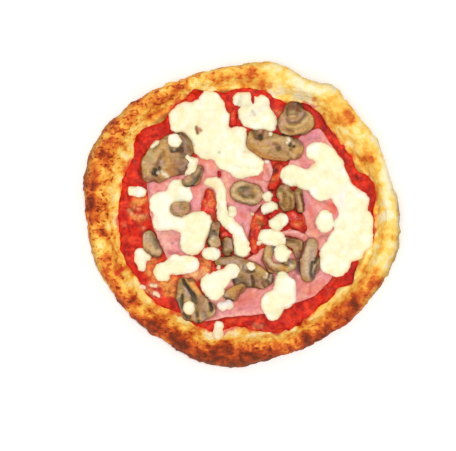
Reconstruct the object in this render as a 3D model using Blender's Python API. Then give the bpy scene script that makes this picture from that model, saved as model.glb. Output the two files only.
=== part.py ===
"""Capricciosa pizza: a hand-stretched base with a puffed rim, under tomato sauce, cooked ham,
melted mozzarella, sliced mushrooms, an artichoke heart and pieces of tomato.

Every piece is a closed solid of its own. The toppings are thin sheets cut from an even lattice of
triangles, and each is laid over what already lies on the pizza, from the base upwards.

Sizes are millimetres. Places are on a layout sheet seen from above, at full size: x runs to the
right and y runs down the sheet. SHEET_CENTRE is the hub of the dough's round. A topping is drawn
with strokes: each stroke is a row of (x, y, radius) blobs joined by tapered bands.
"""

import math

import bpy
import numpy as np

MM = 0.001
GAP = 0.3  # clearance between two pieces that touch

# The dough's round, as radii about the hub every 15 degrees, from the right and anticlockwise.
SHEET_CENTRE = (241.5, 214.0)
OUTER_RADII = (
    158.5, 153.5, 154.5, 153, 153.5, 156, 150, 148, 150, 156, 162, 163,
    156, 154, 152, 150, 150, 153, 152.5, 147, 148.5, 152, 156, 160.5,
)  # fmt: skip
INNER_RADII = (
    133.5, 133, 124.5, 122, 128.5, 120, 127, 128, 127.5, 130, 123, 124,
    124.5, 125.5, 122.5, 125.5, 118, 122, 112, 120.5, 122, 123.5, 131, 133,
)  # fmt: skip
# Knobs that stand out of the round: angle in degrees, half-width in degrees, size.
OUTER_KNOBS = ((53, 4.5, 5.0), (66, 5, -3.5), (112, 5, -1.5))
BASE_THICKNESS = 4.0
RIM_HEIGHT = 19.0
RIM_WAVES = ((3, 0.9, 0.6), (5, 0.8, 2.1), (8, 0.6, 4.0), (17, 0.6, 1.3))  # lobes round the rim, height, phase
RIM_CROWN_SHARE = 0.56  # how far the crown lies from the rim's inner foot to its outer face
RIM_LEAN = 0.14  # the crown moves inwards by this share on the side facing RIM_LEAN_ANGLE
RIM_LEAN_ANGLE = math.radians(-15)
RIM_WIDEST_HEIGHT = 6.0
RIM_ROUNDNESS = 0.9  # 1 is an ellipse, and less is squarer
RIM_FOOT_INSET = 6.0  # the round stands on a flat this much smaller than its outline
RIM_EDGE_INSET = 1.8
RIM_EDGE_HEIGHT = 2.1
RIM_SECTIONS = 84
RIM_OUTER_STEPS = 4
RIM_INNER_STEPS = 5
CRAG_HEIGHT = 0.9
CRAG_SEED = 11
# Bubbles baked into the rim: angle in degrees, half-length along the rim in degrees, extra height.
RIM_BUBBLES = (
    (84, 9, 2.4), (58, 6, 1.4), (36, 7, 1.8), (128, 8, 1.6), (152, 9, 2.2), (176, 7, 2.0),
    (203, 8, 2.4), (226, 7, 1.5), (247, 8, 2.2), (275, 8, 2.0), (300, 6, 1.4), (322, 9, 2.4),
    (352, 8, 1.2),
)  # fmt: skip

SAUCE_THICKNESS = 1.2
SAUCE_EDGE = 1.0
SAUCE_WAVE = 0.3
SAUCE_RINGS = 3
SAUCE_INSET = 0.6

# How each kind of topping is cut: thickness in the middle and at the rim, how quickly it rounds
# over, the doming of each blob, and how softly blobs run together.
KINDS = {
    "ham": {"middle": 1.3, "rim": 0.9, "round": 3.0, "dome": 0.0, "melt": 0.4},
    "mozzarella": {"middle": 2.3, "rim": 0.9, "round": 2.6, "dome": 0.8, "melt": 1.5},
    "mushroom": {"middle": 3.4, "rim": 2.0, "round": 1.8, "dome": 0.3, "melt": 0.9},
    "artichoke": {"middle": 4.5, "rim": 2.0, "round": 2.6, "dome": 1.0, "melt": 0.8},
    "tomato": {"middle": 2.4, "rim": 1.1, "round": 2.0, "dome": 0.6, "melt": 0.9},
}
SPACING_SHARE = 0.17  # lattice spacing against the side of a square as large as the topping
SPACING_LIMITS = (3.2, 6.0)
HAM_SPACING = 11.0
SNAP_SHARE = 0.42  # lattice points nearer the outline than this share of the spacing move onto it
SNAP_ROUNDS = 3
SLOPE_STEP = 0.05
SLOPE_LEAST = 0.2
STIFFNESS_ROUNDS = 5  # how far a sheet bridges the steps in what it lies on
DRAPE_ROUNDS = 40
DRAPE_TOLERANCE = 0.02

GROUND_HALF = 175  # half the side of the square map of heights
SHEET_BOX = ((80.0, 58.0), (402.0, 370.0))  # the part of the layout sheet that is drawn on
GROUND_EMPTY = -1.0
SAMPLE_STEP = 0.7

COLOURS = {  # sRGB, roughness
    "dough": ((0.89, 0.68, 0.38), 0.8),
    "tomato_sauce": ((0.82, 0.16, 0.10), 0.35),
    "ham": ((0.90, 0.58, 0.55), 0.45),
    "mozzarella": ((0.98, 0.96, 0.85), 0.4),
    "mushroom": ((0.72, 0.56, 0.36), 0.5),
    "artichoke": ((0.70, 0.52, 0.28), 0.55),
    "tomato": ((0.86, 0.22, 0.12), 0.3),
}


def clear_scene():
    for item in list(bpy.data.objects):
        bpy.data.objects.remove(item)


def make_material(kind):
    colour, roughness = COLOURS[kind]
    material = bpy.data.materials.new(kind)
    material.use_nodes = True
    shader = material.node_tree.nodes["Principled BSDF"]
    linear = [((c + 0.055) / 1.055) ** 2.4 for c in colour]
    shader.inputs["Base Color"].default_value = (*linear, 1.0)
    shader.inputs["Roughness"].default_value = roughness
    shader.inputs["Metallic"].default_value = 0.0
    return material


def add_piece(name, points, faces, material):
    """One named object from points in millimetres, with the pizza's middle at the origin."""
    mesh = bpy.data.meshes.new(name)
    middle = np.array([*plan_middle(), 0.0])
    mesh.from_pydata(((points - middle) * MM).tolist(), [], faces)
    mesh.validate()
    mesh.shade_smooth()
    mesh.set_sharp_from_angle(angle=math.radians(50))
    mesh.materials.append(material)
    piece = bpy.data.objects.new(name, mesh)
    bpy.context.scene.collection.objects.link(piece)
    return piece


def round_value(values, angle):
    """A smooth closed curve through values that are evenly spaced round the circle."""
    place = angle / math.tau * len(values)
    start = math.floor(place)
    t = place - start
    a, b, c, d = (values[(start + k) % len(values)] for k in (-1, 0, 1, 2))
    bend = 2 * b + (c - a) * t + (2 * a - 5 * b + 4 * c - d) * t**2 + (3 * b - a - 3 * c + d) * t**3
    return bend / 2


def swellings(bumps, angle):
    """The sum of bumps, each (place in degrees, half-length in degrees, size), at an angle."""
    total = 0.0
    for place, half_length, size in bumps:
        away = (math.degrees(angle) - place + 180) % 360 - 180
        total += size * math.exp(-((away / half_length) ** 2))
    return total


def outer_radius(angle):
    return round_value(OUTER_RADII, angle) + swellings(OUTER_KNOBS, angle)


def plan_middle():
    """The middle of the box round the dough's outline, which becomes the origin."""
    angles = [math.tau * k / RIM_SECTIONS for k in range(RIM_SECTIONS)]
    x = [outer_radius(a) * math.cos(a) for a in angles]
    y = [outer_radius(a) * math.sin(a) for a in angles]
    return (min(x) + max(x)) / 2, (min(y) + max(y)) / 2


def crown_height(angle):
    height = RIM_HEIGHT + swellings(RIM_BUBBLES, angle)
    for lobes, size, phase in RIM_WAVES:
        height += size * math.sin(lobes * angle + phase)
    return height


def rim_profile(angle):
    """The rim's cut face at one angle, as (radius, height) from the flat foot over the crown."""
    outer = outer_radius(angle)
    inner = round_value(INNER_RADII, angle)
    height = crown_height(angle)
    lean = RIM_LEAN * max(0.0, math.cos(angle - RIM_LEAN_ANGLE))
    crown = inner + (outer - inner) * (RIM_CROWN_SHARE - lean)
    profile = [(outer - RIM_FOOT_INSET, 0.0), (outer - RIM_EDGE_INSET, RIM_EDGE_HEIGHT)]
    for step in range(RIM_OUTER_STEPS + 1):
        turn = math.pi / 2 * step / RIM_OUTER_STEPS
        radius = crown + (outer - crown) * max(0.0, math.cos(turn)) ** RIM_ROUNDNESS
        profile.append((radius, RIM_WIDEST_HEIGHT + (height - RIM_WIDEST_HEIGHT) * math.sin(turn)))
    for step in range(1, RIM_INNER_STEPS + 1):
        t = step / RIM_INNER_STEPS
        fall = 0.5 + 0.5 * math.cos(math.pi * t)
        profile.append((crown + (inner - crown) * t, BASE_THICKNESS + (height - BASE_THICKNESS) * fall))
    return profile


def polar_rings(profiles):
    """Points and faces of a closed round: profiles run from the bottom outwards to the top."""
    sections, steps = len(profiles), len(profiles[0])
    points = []
    for k, profile in enumerate(profiles):
        angle = math.tau * k / sections
        points += [(r * math.cos(angle), r * math.sin(angle), z) for r, z in profile]
    faces = []
    for k in range(sections):
        here, there = k * steps, (k + 1) % sections * steps
        for s in range(steps - 1):
            faces.append((here + s, there + s, there + s + 1))
            faces.append((here + s, there + s + 1, here + s + 1))
    bottom, top = len(points), len(points) + 1
    points.append((0.0, 0.0, profiles[0][0][1]))
    points.append((0.0, 0.0, profiles[0][-1][1]))
    for k in range(sections):
        here, there = k * steps, (k + 1) % sections * steps
        faces.append((bottom, there, here))
        faces.append((top, here + steps - 1, there + steps - 1))
    return np.array(points), faces


def make_dough(material):
    draw = np.random.default_rng(CRAG_SEED)
    profiles = []
    for k in range(RIM_SECTIONS):
        profile = rim_profile(math.tau * k / RIM_SECTIONS)
        crags = draw.uniform(-CRAG_HEIGHT, CRAG_HEIGHT, len(profile))
        crags[:3] = 0
        crags[-2:] = 0
        profiles.append([(r, z + c) for (r, z), c in zip(profile, crags)])
    points, faces = polar_rings(profiles)
    add_piece("dough", points, faces, material)
    return points, faces


def make_sauce(material):
    low = BASE_THICKNESS + GAP
    profiles = []
    for k in range(RIM_SECTIONS):
        angle = math.tau * k / RIM_SECTIONS
        edge = round_value(INNER_RADII, angle) - SAUCE_INSET
        profile = [(edge, low), (edge, low + SAUCE_EDGE)]
        for ring in range(SAUCE_RINGS - 1, 0, -1):
            wave = SAUCE_WAVE * math.sin(5 * angle + 2 * ring)
            profile.append((edge * ring / SAUCE_RINGS, low + SAUCE_THICKNESS + wave))
        profiles.append(profile)
    points, faces = polar_rings(profiles)
    add_piece("tomato_sauce", points, faces, material)
    return points, faces


class Ground:
    """A map of how high the pizza reaches so far, on a one millimetre grid."""

    def __init__(self):
        side = 2 * GROUND_HALF + 1
        self.height = np.full((side, side), GROUND_EMPTY)

    def add(self, points, faces):
        """Raises the map to the faces: each is sampled closely, and a sample lifts the four
        grid points round it."""
        for face in faces:
            a, b, c = (points[k] for k in face)
            longest = max(np.linalg.norm(b - a), np.linalg.norm(c - a), np.linalg.norm(c - b))
            steps = max(2, math.ceil(longest / SAMPLE_STEP))
            u, v = np.mgrid[0 : steps + 1, 0 : steps + 1] / steps
            keep = u + v <= 1 + 1e-9
            sample = a + u[keep][:, None] * (b - a) + v[keep][:, None] * (c - a)
            column = np.floor(sample[:, 0]).astype(int) + GROUND_HALF
            row = np.floor(sample[:, 1]).astype(int) + GROUND_HALF
            for right in (0, 1):
                for up in (0, 1):
                    np.maximum.at(self.height, (row + up, column + right), sample[:, 2])

    def highest_at(self, points):
        """The highest ground on the grid points next to each point."""
        column = np.rint(points[:, 0]).astype(int) + GROUND_HALF
        row = np.rint(points[:, 1]).astype(int) + GROUND_HALF
        best = np.full(len(points), GROUND_EMPTY)
        for up in (-1, 0, 1):
            for right in (-1, 0, 1):
                best = np.maximum(best, self.height[row + up, column + right])
        return best


def band_distance(x, y, start, end):
    """Distance to a tapered band between two blobs, below zero inside it."""
    (ax, ay, ar), (bx, by, br) = start, end
    dx, dy = bx - ax, by - ay
    t = np.clip(((x - ax) * dx + (y - ay) * dy) / max(dx * dx + dy * dy, 1e-9), 0, 1)
    return np.hypot(x - ax - t * dx, y - ay - t * dy) - (ar + (br - ar) * t)


def stroke_field(strokes, melt):
    """A field that is below zero inside the strokes, which run softly into one another."""

    def field(x, y):
        total = 0
        for stroke in strokes:
            ends = stroke[1:] or stroke
            nearest = np.min([band_distance(x, y, a, b) for a, b in zip(stroke, ends)], axis=0)
            total = total + np.exp(-nearest / melt)
        return -melt * np.log(np.maximum(total, 1e-300))

    return field


def corner_field(corners, rounding):
    """A field that is below zero inside the polygon, with its corners rounded outwards."""

    def field(x, y):
        nearest = np.full(np.shape(x), 1e9)
        inside = np.zeros(np.shape(x), bool)
        for (ax, ay), (bx, by) in zip(corners, corners[1:] + corners[:1]):
            nearest = np.minimum(nearest, band_distance(x, y, (ax, ay, 0), (bx, by, 0)))
            spans = (ay > y) != (by > y)
            rise = by - ay if by != ay else 1e-9
            inside ^= spans & (x < ax + (bx - ax) * (y - ay) / rise)
        return np.where(inside, -nearest, nearest) - rounding

    return field


def pull_to_edge(field, points, limit):
    """Moves the points that lie within the limit of the outline onto it."""
    value = field(points[:, 0], points[:, 1])
    near = np.abs(value) < limit
    moving = points[near]
    for _ in range(SNAP_ROUNDS):
        here = field(moving[:, 0], moving[:, 1])
        slope_x = (field(moving[:, 0] + SLOPE_STEP, moving[:, 1]) - here) / SLOPE_STEP
        slope_y = (field(moving[:, 0], moving[:, 1] + SLOPE_STEP) - here) / SLOPE_STEP
        size = np.maximum(slope_x**2 + slope_y**2, SLOPE_LEAST)
        moving = moving - np.stack([here * slope_x / size, here * slope_y / size], 1)
    points[near] = moving
    value[near] = 0.0
    return points, value


def lattice(low, high, spacing):
    """Points of an even lattice over a box, and its triangles, anticlockwise on the sheet."""
    rise = spacing * math.sqrt(3) / 2
    columns = math.ceil((high[0] - low[0]) / spacing) + 3
    rows = math.ceil((high[1] - low[1]) / rise) + 3
    row, column = np.mgrid[0:rows, 0:columns]
    x = low[0] + (column - 1 + 0.5 * (row % 2)) * spacing
    y = low[1] + (row - 1) * rise
    triangles = []
    for r in range(rows - 1):
        for c in range(columns - 1):
            here, above = r * columns + c, (r + 1) * columns + c
            if r % 2 == 0:
                triangles += [(here, here + 1, above), (here + 1, above + 1, above)]
            else:
                triangles += [(here, above + 1, above), (here, here + 1, above + 1)]
    return np.stack([x.ravel(), y.ravel()], 1), triangles


def trim(field, low, high, spacing):
    """The lattice trimmed to the field's outline: its points and triangles."""
    points, triangles = lattice(low, high, spacing)
    points, value = pull_to_edge(field, points, SNAP_SHARE * spacing)
    points = [tuple(p) for p in points]
    crossings = {}

    def crossing(a, b):
        key = (min(a, b), max(a, b))
        if key not in crossings:
            t = value[a] / (value[a] - value[b])
            cut = [points[a][k] + t * (points[b][k] - points[a][k]) for k in (0, 1)]
            crossings[key] = len(points)
            points.append(tuple(cut))
        return crossings[key]

    kept = []
    for triangle in triangles:
        if min(value[k] for k in triangle) >= 0:
            continue
        outline = []
        for a, b in zip(triangle, triangle[1:] + triangle[:1]):
            if value[a] <= 0:
                outline.append(a)
            if value[a] * value[b] < 0:
                outline.append(crossing(a, b))
        kept += [(outline[0], outline[k], outline[k + 1]) for k in range(1, len(outline) - 1)]
    kept = one_patch(kept)
    used = sorted({k for triangle in kept for k in triangle})
    renumber = {old: new for new, old in enumerate(used)}
    return np.array([points[k] for k in used]), [tuple(renumber[k] for k in t) for t in kept]


def patches(triangles):
    """The triangles in groups that hang together by their edges, the largest first."""
    owners = {}
    for index, triangle in enumerate(triangles):
        for a, b in zip(triangle, triangle[1:] + triangle[:1]):
            owners.setdefault((min(a, b), max(a, b)), []).append(index)
    neighbours = [[] for _ in triangles]
    for pair in owners.values():
        if len(pair) == 2:
            neighbours[pair[0]].append(pair[1])
            neighbours[pair[1]].append(pair[0])
    groups, seen = [], set()
    for start in range(len(triangles)):
        if start in seen:
            continue
        group, waiting = [], [start]
        seen.add(start)
        while waiting:
            index = waiting.pop()
            group.append(triangles[index])
            fresh = [k for k in neighbours[index] if k not in seen]
            seen.update(fresh)
            waiting += fresh
        groups.append(group)
    return sorted(groups, key=len, reverse=True)


def one_patch(triangles):
    """The largest patch, without the scraps that touch it at a single point."""
    scraps = [None]
    while scraps:
        triangles = patches(triangles)[0]
        around = {}
        for triangle in triangles:
            for k in triangle:
                around.setdefault(k, []).append(triangle)
        scraps = {t for fan in around.values() for loose in patches(fan)[1:] for t in loose}
        triangles = [t for t in triangles if t not in scraps]
    return triangles


def drape(ground, plan, triangles):
    """Heights for a sheet that lies on the ground: it bridges steps, and no face dips below."""
    longest = max(np.linalg.norm(plan[t[k]] - plan[t[k - 1]]) for t in triangles for k in range(3))
    steps = math.ceil(longest)
    u, v = np.mgrid[0 : steps + 1, 0 : steps + 1] / steps
    keep = u + v <= 1 + 1e-9
    share = np.stack([1 - u[keep] - v[keep], u[keep], v[keep]], 1)
    corners = np.array(triangles)
    samples = np.einsum("sk,tkx->tsx", share, plan[corners])
    floor = ground.highest_at(samples.reshape(-1, 2)).reshape(samples.shape[:2])
    pairs = np.concatenate([corners[:, [0, 1]], corners[:, [1, 2]], corners[:, [2, 0]]])
    pairs = np.concatenate([pairs, pairs[:, ::-1]])
    count = np.bincount(pairs[:, 0], minlength=len(plan))
    height = ground.highest_at(plan)
    rows = np.arange(len(corners))
    for turn in range(DRAPE_ROUNDS):
        if turn < STIFFNESS_ROUNDS:
            mean = np.bincount(pairs[:, 0], height[pairs[:, 1]], len(plan)) / count
            height = np.maximum(height, mean)
        short = floor - height[corners] @ share.T
        worst = short.argmax(1)
        lift = np.maximum(short[rows, worst], 0)
        if turn >= STIFFNESS_ROUNDS and lift.max() < DRAPE_TOLERANCE:
            break
        weight = share[worst]
        raised = lift[:, None] * weight / (weight**2).sum(1, keepdims=True)
        np.maximum.at(height, corners, height[corners] + raised)
    return height + GAP


def solid_from_sheet(plan, triangles, low, high):
    """A closed solid between two heights over one plan: points and faces, facing outwards."""
    count = len(plan)
    points = np.concatenate([np.column_stack([plan, low]), np.column_stack([plan, high])])
    faces = [(c, b, a) for a, b, c in triangles]
    faces += [(a + count, b + count, c + count) for a, b, c in triangles]
    directed = {(t[k], t[(k + 1) % 3]) for t in triangles for k in range(3)}
    for a, b in sorted(directed):
        if (b, a) not in directed:
            faces += [(a, b, b + count), (a, b + count, a + count)]
    return points, faces


def lay(ground, name, kind, field, blobs, material, bumps=()):
    """Cuts one topping, drapes it over the ground and adds it to both."""
    cut = KINDS[kind]
    (left, top), (right, bottom) = SHEET_BOX
    across, down = np.meshgrid(np.arange(left, right), np.arange(top, bottom))
    inside = field(across, down) < 0
    low = (across[inside].min(), down[inside].min())
    high = (across[inside].max(), down[inside].max())
    spacing = float(np.clip(SPACING_SHARE * math.sqrt(inside.sum()), *SPACING_LIMITS))
    if kind == "ham":
        spacing = HAM_SPACING
    sheet, triangles = trim(field, low, high, spacing)
    depth = np.maximum(-field(sheet[:, 0], sheet[:, 1]), 0)
    thickness = cut["middle"] - (cut["middle"] - cut["rim"]) * np.exp(-depth / cut["round"])
    for x, y, radius in blobs:
        away = np.hypot(sheet[:, 0] - x, sheet[:, 1] - y) / radius
        thickness += cut["dome"] * np.maximum(0, 1 - away**2)
    for x, y, radius, height in bumps:
        away = np.hypot(sheet[:, 0] - x, sheet[:, 1] - y) / radius
        thickness += height * np.maximum(0, 1 - away**2)
    plan = np.column_stack([sheet[:, 0] - SHEET_CENTRE[0], SHEET_CENTRE[1] - sheet[:, 1]])
    triangles = [(a, c, b) for a, b, c in triangles]  # the sheet's y runs down, the pizza's up
    under = drape(ground, plan, triangles)
    points, faces = solid_from_sheet(plan, triangles, under, under + thickness)
    add_piece(name, points, faces, material)
    ground.add(points, faces)


HAM_CORNER = 4.0
HAM = {
    "ham_left": [
        (150, 184), (190, 180), (206, 162), (213, 168), (214, 192), (209, 216), (200, 242),
        (186, 253), (170, 256), (161, 238), (154, 214),
    ],
    "ham_centre": [
        (226, 176), (262, 172), (271, 176), (266, 200), (258, 222), (248, 244), (246, 253),
        (240, 252), (232, 230), (230, 204),
    ],
    "ham_right": [
        (304, 143), (317, 134), (333, 153), (348, 184), (363, 206), (356, 232), (332, 250),
        (309, 242), (307, 214), (303, 190), (296, 164),
    ],
    "ham_front": [
        (207, 304), (205, 317), (230, 313), (265, 310), (298, 298), (313, 293), (329, 276),
        (322, 266), (298, 255), (264, 252), (248, 263), (228, 284),
    ],
}  # fmt: skip
HAM_FOLDS = {"ham_front": ((301, 288, 12, 1.6),), "ham_right": ((311, 238, 9, 1.6),)}

TOMATO = {
    "tomato_01": [[(291, 216, 6.5), (297, 221, 8.5), (303, 228, 4.5)], [(284, 225, 3.8)]],
    "tomato_02": [
        [(263, 209, 4), (258, 218, 5.5), (255, 229, 5), (253, 240, 4.5), (254, 250, 4.5)],
        [(264, 220, 5)],
    ],
    "tomato_03": [[(278, 170, 5.5), (276, 181, 5), (271, 188, 3.5)]],
    "tomato_04": [[(209, 193, 4.5), (209, 203, 7.5), (206, 209, 5)]],
    "tomato_05": [[(222.5, 235, 3.6), (229, 235, 3.8)]],
    "tomato_06": [[(214, 265, 2.6), (214.5, 271, 3)]],
}

# Pools of mozzarella: each blob is one melted chunk.
CHEESE_UNDER = {
    "mozzarella_01": [
        (181, 118, 12), (199, 113, 13), (210, 101, 11), (213, 117, 13), (199, 134, 12),
        (217, 134, 14), (233, 141, 13.5), (208, 148, 11.5), (228, 157, 14), (241, 165, 13.5),
        (254, 166, 10),
    ],
    "mozzarella_02": [
        (240, 100, 8), (247, 99, 7.5), (262, 102, 8), (250, 115, 12), (262, 118, 12.5),
        (269, 122, 9.5),
    ],
    "mozzarella_03": [
        (162, 204, 12.5), (178, 191, 12), (183, 195, 9.5), (173, 204, 11), (166, 218, 13),
        (179, 222, 9), (195, 227, 15), (192, 242, 13), (200, 224, 12),
    ],
    "mozzarella_04": [(163, 272, 9.5), (176, 265, 10.5), (184, 265, 9), (191, 264, 8.5)],
    "mozzarella_06": [
        (316, 151, 10), (325, 155, 11), (332, 166, 12), (320, 174, 12), (336, 180, 13),
        (291, 175, 11), (305, 179, 11), (322, 188, 13), (346, 196, 14), (358, 203, 12),
        (360, 222, 14.5), (349, 226, 13), (360, 238, 14), (342, 243, 15), (333, 253, 13),
        (338, 264, 12.5), (354, 251, 11), (328, 264, 9),
    ],
    "mozzarella_07": [(325, 219, 8.3), (325, 225, 8.3)],
    "mozzarella_08": [(141, 254, 6.5), (140, 261, 5.5), (142, 268, 3.5), (147, 257, 3.8)],
    "mozzarella_09": [(133, 191, 5.5), (141, 192, 5.5)],
    "mozzarella_10": [(218, 327, 4.5), (219, 334, 5)],
}  # fmt: skip

# A strand of mozzarella that ran down between the other toppings.
CHEESE_STRAND = {
    "mozzarella_05": [
        [
            (209, 182, 4.5), (216, 183, 6.5), (221, 190, 5.5), (221.5, 207, 5),
            (224, 217, 7), (232, 226, 6.5), (238, 231, 6), (240, 240, 7), (242, 249, 8.3),
        ],
    ],
}  # fmt: skip

MUSHROOM = {
    "mushroom_01": [
        [(166, 141, 5), (155, 151, 7), (149, 163, 8), (149, 175, 7.5)],
        [(158, 178, 5), (170, 165, 12), (181, 165, 10)],
        [(170, 137, 3.5), (181, 137, 5), (188, 144, 4.5), (189, 152, 4)],
        [(163, 150, 8)],
    ],
    "mushroom_02": [[(199, 170, 4.5), (194, 179, 7), (187, 182, 5)]],
    "mushroom_03": [[(257, 143, 10.5), (268, 148, 12), (283, 148, 13), (292, 148, 10.5)]],
    "mushroom_04": [[(290, 123, 12.5), (302, 122, 12.5)], [(294, 110, 9.5)]],
    "mushroom_05": [[(241, 191.5, 11), (252, 194.5, 11)]],
    "mushroom_06": [[(149, 237, 6.5), (151, 245, 8.5), (156, 251, 6.5)]],
    "mushroom_07": [[(177, 209, 7), (186, 207, 5)]],
    "mushroom_08": [
        [(183, 284, 6), (183, 297, 7.5), (190, 313, 8.5)],
        [(190, 284, 5.5), (196, 298, 7), (206, 310, 9), (198, 317, 7)],
    ],
    "mushroom_09": [
        [(219, 262, 4.5), (232, 260, 4.5), (246, 264, 5), (258, 270, 5.5), (268, 279, 6)],
        [(262, 281, 8), (240, 279, 8)],
    ],
    "mushroom_10": [[(240, 288, 4.5), (228, 296, 4.5)]],
    "mushroom_11": [[(287, 241, 4.5), (297, 245, 6), (299, 254, 5)]],
    "mushroom_12": [
        [(270, 249, 5), (266, 259, 4.5), (272, 268, 5), (284, 269, 6), (292, 264, 5)],
    ],
    "mushroom_13": [
        [(311, 245, 7), (309, 256, 8.5), (307, 268, 8.5), (308, 275, 7)],
        [(316, 260, 3.5), (314, 270, 4.5)],
    ],
    "mushroom_14": [[(216, 227, 4.5), (214, 236, 5), (213, 242, 6.5)]],
    "mushroom_15": [[(227, 242, 5), (227, 251, 5.5)]],
}
MUSHROOM_BUMPS = {
    "mushroom_01": ((156, 170, 5, -1.6), (176, 148, 6, -1.4)),
    "mushroom_03": ((257, 136, 6, -1.8), (278, 148, 4, 1.0)),
    "mushroom_04": ((294, 110, 10, 2.6),),
}

ARTICHOKE = {
    "artichoke_heart": [
        [(284, 193, 8), (287, 203, 8.5)],
        [(297, 194, 3.5), (300, 209, 4)],
        [(291, 198, 7)],
    ],
}

CHEESE_OVER = {
    "mozzarella_11": [(283, 284, 10.5), (285, 297, 12), (273, 303, 12), (273.5, 312, 8.5)],
    "mozzarella_12": [(211, 284, 11), (214, 291, 9.5), (222, 279, 9), (232, 271, 8)],
    "mozzarella_13": [(265, 237, 7.5), (271, 237, 8), (277, 236, 6.5)],
    "mozzarella_14": [(274, 223, 5.5), (281, 220, 6.5)],
    "mozzarella_15": [(266, 209, 5.5), (273, 207, 5.5)],
    "mozzarella_16": [(266.5, 196.5, 6.5)],
    "mozzarella_17": [(282, 254, 9)],
    "mozzarella_18": [(208, 254, 6), (214, 254, 6.3)],
    "mozzarella_19": [(174, 140, 7.5)],
    "mozzarella_20": [(189, 306, 3.6), (189, 309, 3.6)],
    "mozzarella_21": [(251, 266, 4.5)],
    "mozzarella_22": [(232, 209.5, 4.2), (232.5, 212.5, 4.2)],
    "mozzarella_23": [(191, 164, 7), (190, 171, 5.5)],
    "mozzarella_24": [(222, 306, 5), (229, 305, 5)],
    "mozzarella_25": [(152.5, 147, 2.8), (157, 142.5, 3)],
}  # fmt: skip


def lay_strokes(ground, kind, toppings, material, bumps=None):
    for name, strokes in toppings.items():
        blobs = [blob for stroke in strokes for blob in stroke]
        field = stroke_field(strokes, KINDS[kind]["melt"])
        lay(ground, name, kind, field, blobs, material, (bumps or {}).get(name, ()))


def lay_pools(ground, pools, material):
    for name, chunks in pools.items():
        field = stroke_field([[chunk] for chunk in chunks], KINDS["mozzarella"]["melt"])
        lay(ground, name, "mozzarella", field, chunks, material)


def main():
    clear_scene()
    materials = {kind: make_material(kind) for kind in COLOURS}
    ground = Ground()
    ground.add(*make_dough(materials["dough"]))
    ground.add(*make_sauce(materials["tomato_sauce"]))
    for name, corners in HAM.items():
        field = corner_field(corners, HAM_CORNER)
        lay(ground, name, "ham", field, (), materials["ham"], HAM_FOLDS.get(name, ()))
    lay_strokes(ground, "tomato", TOMATO, materials["tomato"])
    lay_strokes(ground, "mozzarella", CHEESE_STRAND, materials["mozzarella"])
    lay_pools(ground, CHEESE_UNDER, materials["mozzarella"])
    lay_strokes(ground, "mushroom", MUSHROOM, materials["mushroom"], MUSHROOM_BUMPS)
    lay_strokes(ground, "artichoke", ARTICHOKE, materials["artichoke"])
    lay_pools(ground, CHEESE_OVER, materials["mozzarella"])


main()
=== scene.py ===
import math

import bpy
import numpy as np
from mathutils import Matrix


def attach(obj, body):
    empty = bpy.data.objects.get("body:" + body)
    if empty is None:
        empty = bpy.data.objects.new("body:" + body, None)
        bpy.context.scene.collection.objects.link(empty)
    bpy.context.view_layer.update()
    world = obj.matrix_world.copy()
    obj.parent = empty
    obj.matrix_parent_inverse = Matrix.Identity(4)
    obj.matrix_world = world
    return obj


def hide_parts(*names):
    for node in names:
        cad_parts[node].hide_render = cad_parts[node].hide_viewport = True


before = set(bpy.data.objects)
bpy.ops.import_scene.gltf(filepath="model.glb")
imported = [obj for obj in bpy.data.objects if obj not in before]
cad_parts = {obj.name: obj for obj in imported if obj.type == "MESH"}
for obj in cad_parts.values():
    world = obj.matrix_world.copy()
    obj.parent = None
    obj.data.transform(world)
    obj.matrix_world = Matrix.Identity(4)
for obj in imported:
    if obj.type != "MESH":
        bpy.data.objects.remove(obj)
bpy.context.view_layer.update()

# Places are on a layout sheet at full size, seen from above: x to the right, y down, millimetres.
mm = 0.001
sheet = {
    "middleX": 241.763, "middleY": 214.293,  # where the pizza's own middle lies on the sheet
    "left": 72.0, "top": 48.0, "columns": 680, "rows": 664,
    "step": 0.5,  # mesh of the height map that the toppings are laid on
}
noiseCells = 64  # the noise repeats after this many bumps


def linearColour(code):
    # an sRGB hex value turned into the linear light that a shader wants
    parts = [int(code[k:k + 2], 16) / 255 for k in (1, 3, 5)]
    return [c / 12.92 if c <= 0.04045 else ((c + 0.055) / 1.055) ** 2.4 for c in parts]


def perMetre(size):
    # the scale of a pattern whose marks are this many millimetres apart
    return 1 / (size * mm)


def setInputs(node, values):
    for name, value in values.items():
        node.inputs[name].default_value = value


def addNode(tree, kind, values=None, links=None, stops=None, **settings):
    node = tree.nodes.new(kind)
    for name, value in settings.items():
        setattr(node, name, value)
    setInputs(node, values or {})
    for name, source in (links or {}).items():
        tree.links.new(source, node.inputs[name])
    if stops:
        ramp = node.color_ramp
        while len(ramp.elements) < len(stops):
            ramp.elements.new(0.5)
        for element, (place, code) in zip(ramp.elements, stops):
            element.position = place
            element.color = (*linearColour(code), 1)
    return node


def startMaterial(name):
    material = bpy.data.materials.new(name)
    material.use_nodes = True
    tree = material.node_tree
    shader = tree.nodes["Principled BSDF"]
    place = addNode(tree, "ShaderNodeTexCoord").outputs["Object"]
    return material, tree, shader, place


studio = {
    "photoWidth": 456, "photoMiddleX": 228.0, "photoMiddleY": 225.5,
    "lens": 85.0, "sensor": 36.0,
    "trueHeight": 9.0,  # a pixel is a millimetre at this height
    "air": "#FCFCFF", "airStrength": 0.60,
    "keyFrom": (0.18, 0.16, 1.35), "keySpread": 14.0, "keyStrength": 1.36, "keyColour": "#FFFCF6",
    "fillFrom": (-0.5, -0.55, 1.3), "fillSpread": 40.0, "fillStrength": 0.46, "fillColour": "#FFFFFF",
    "paper": "#FEFDFB", "paperShade": "#FBFAF8", "paperTooth": 1.2, "paperSize": 14.0,
}


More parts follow.
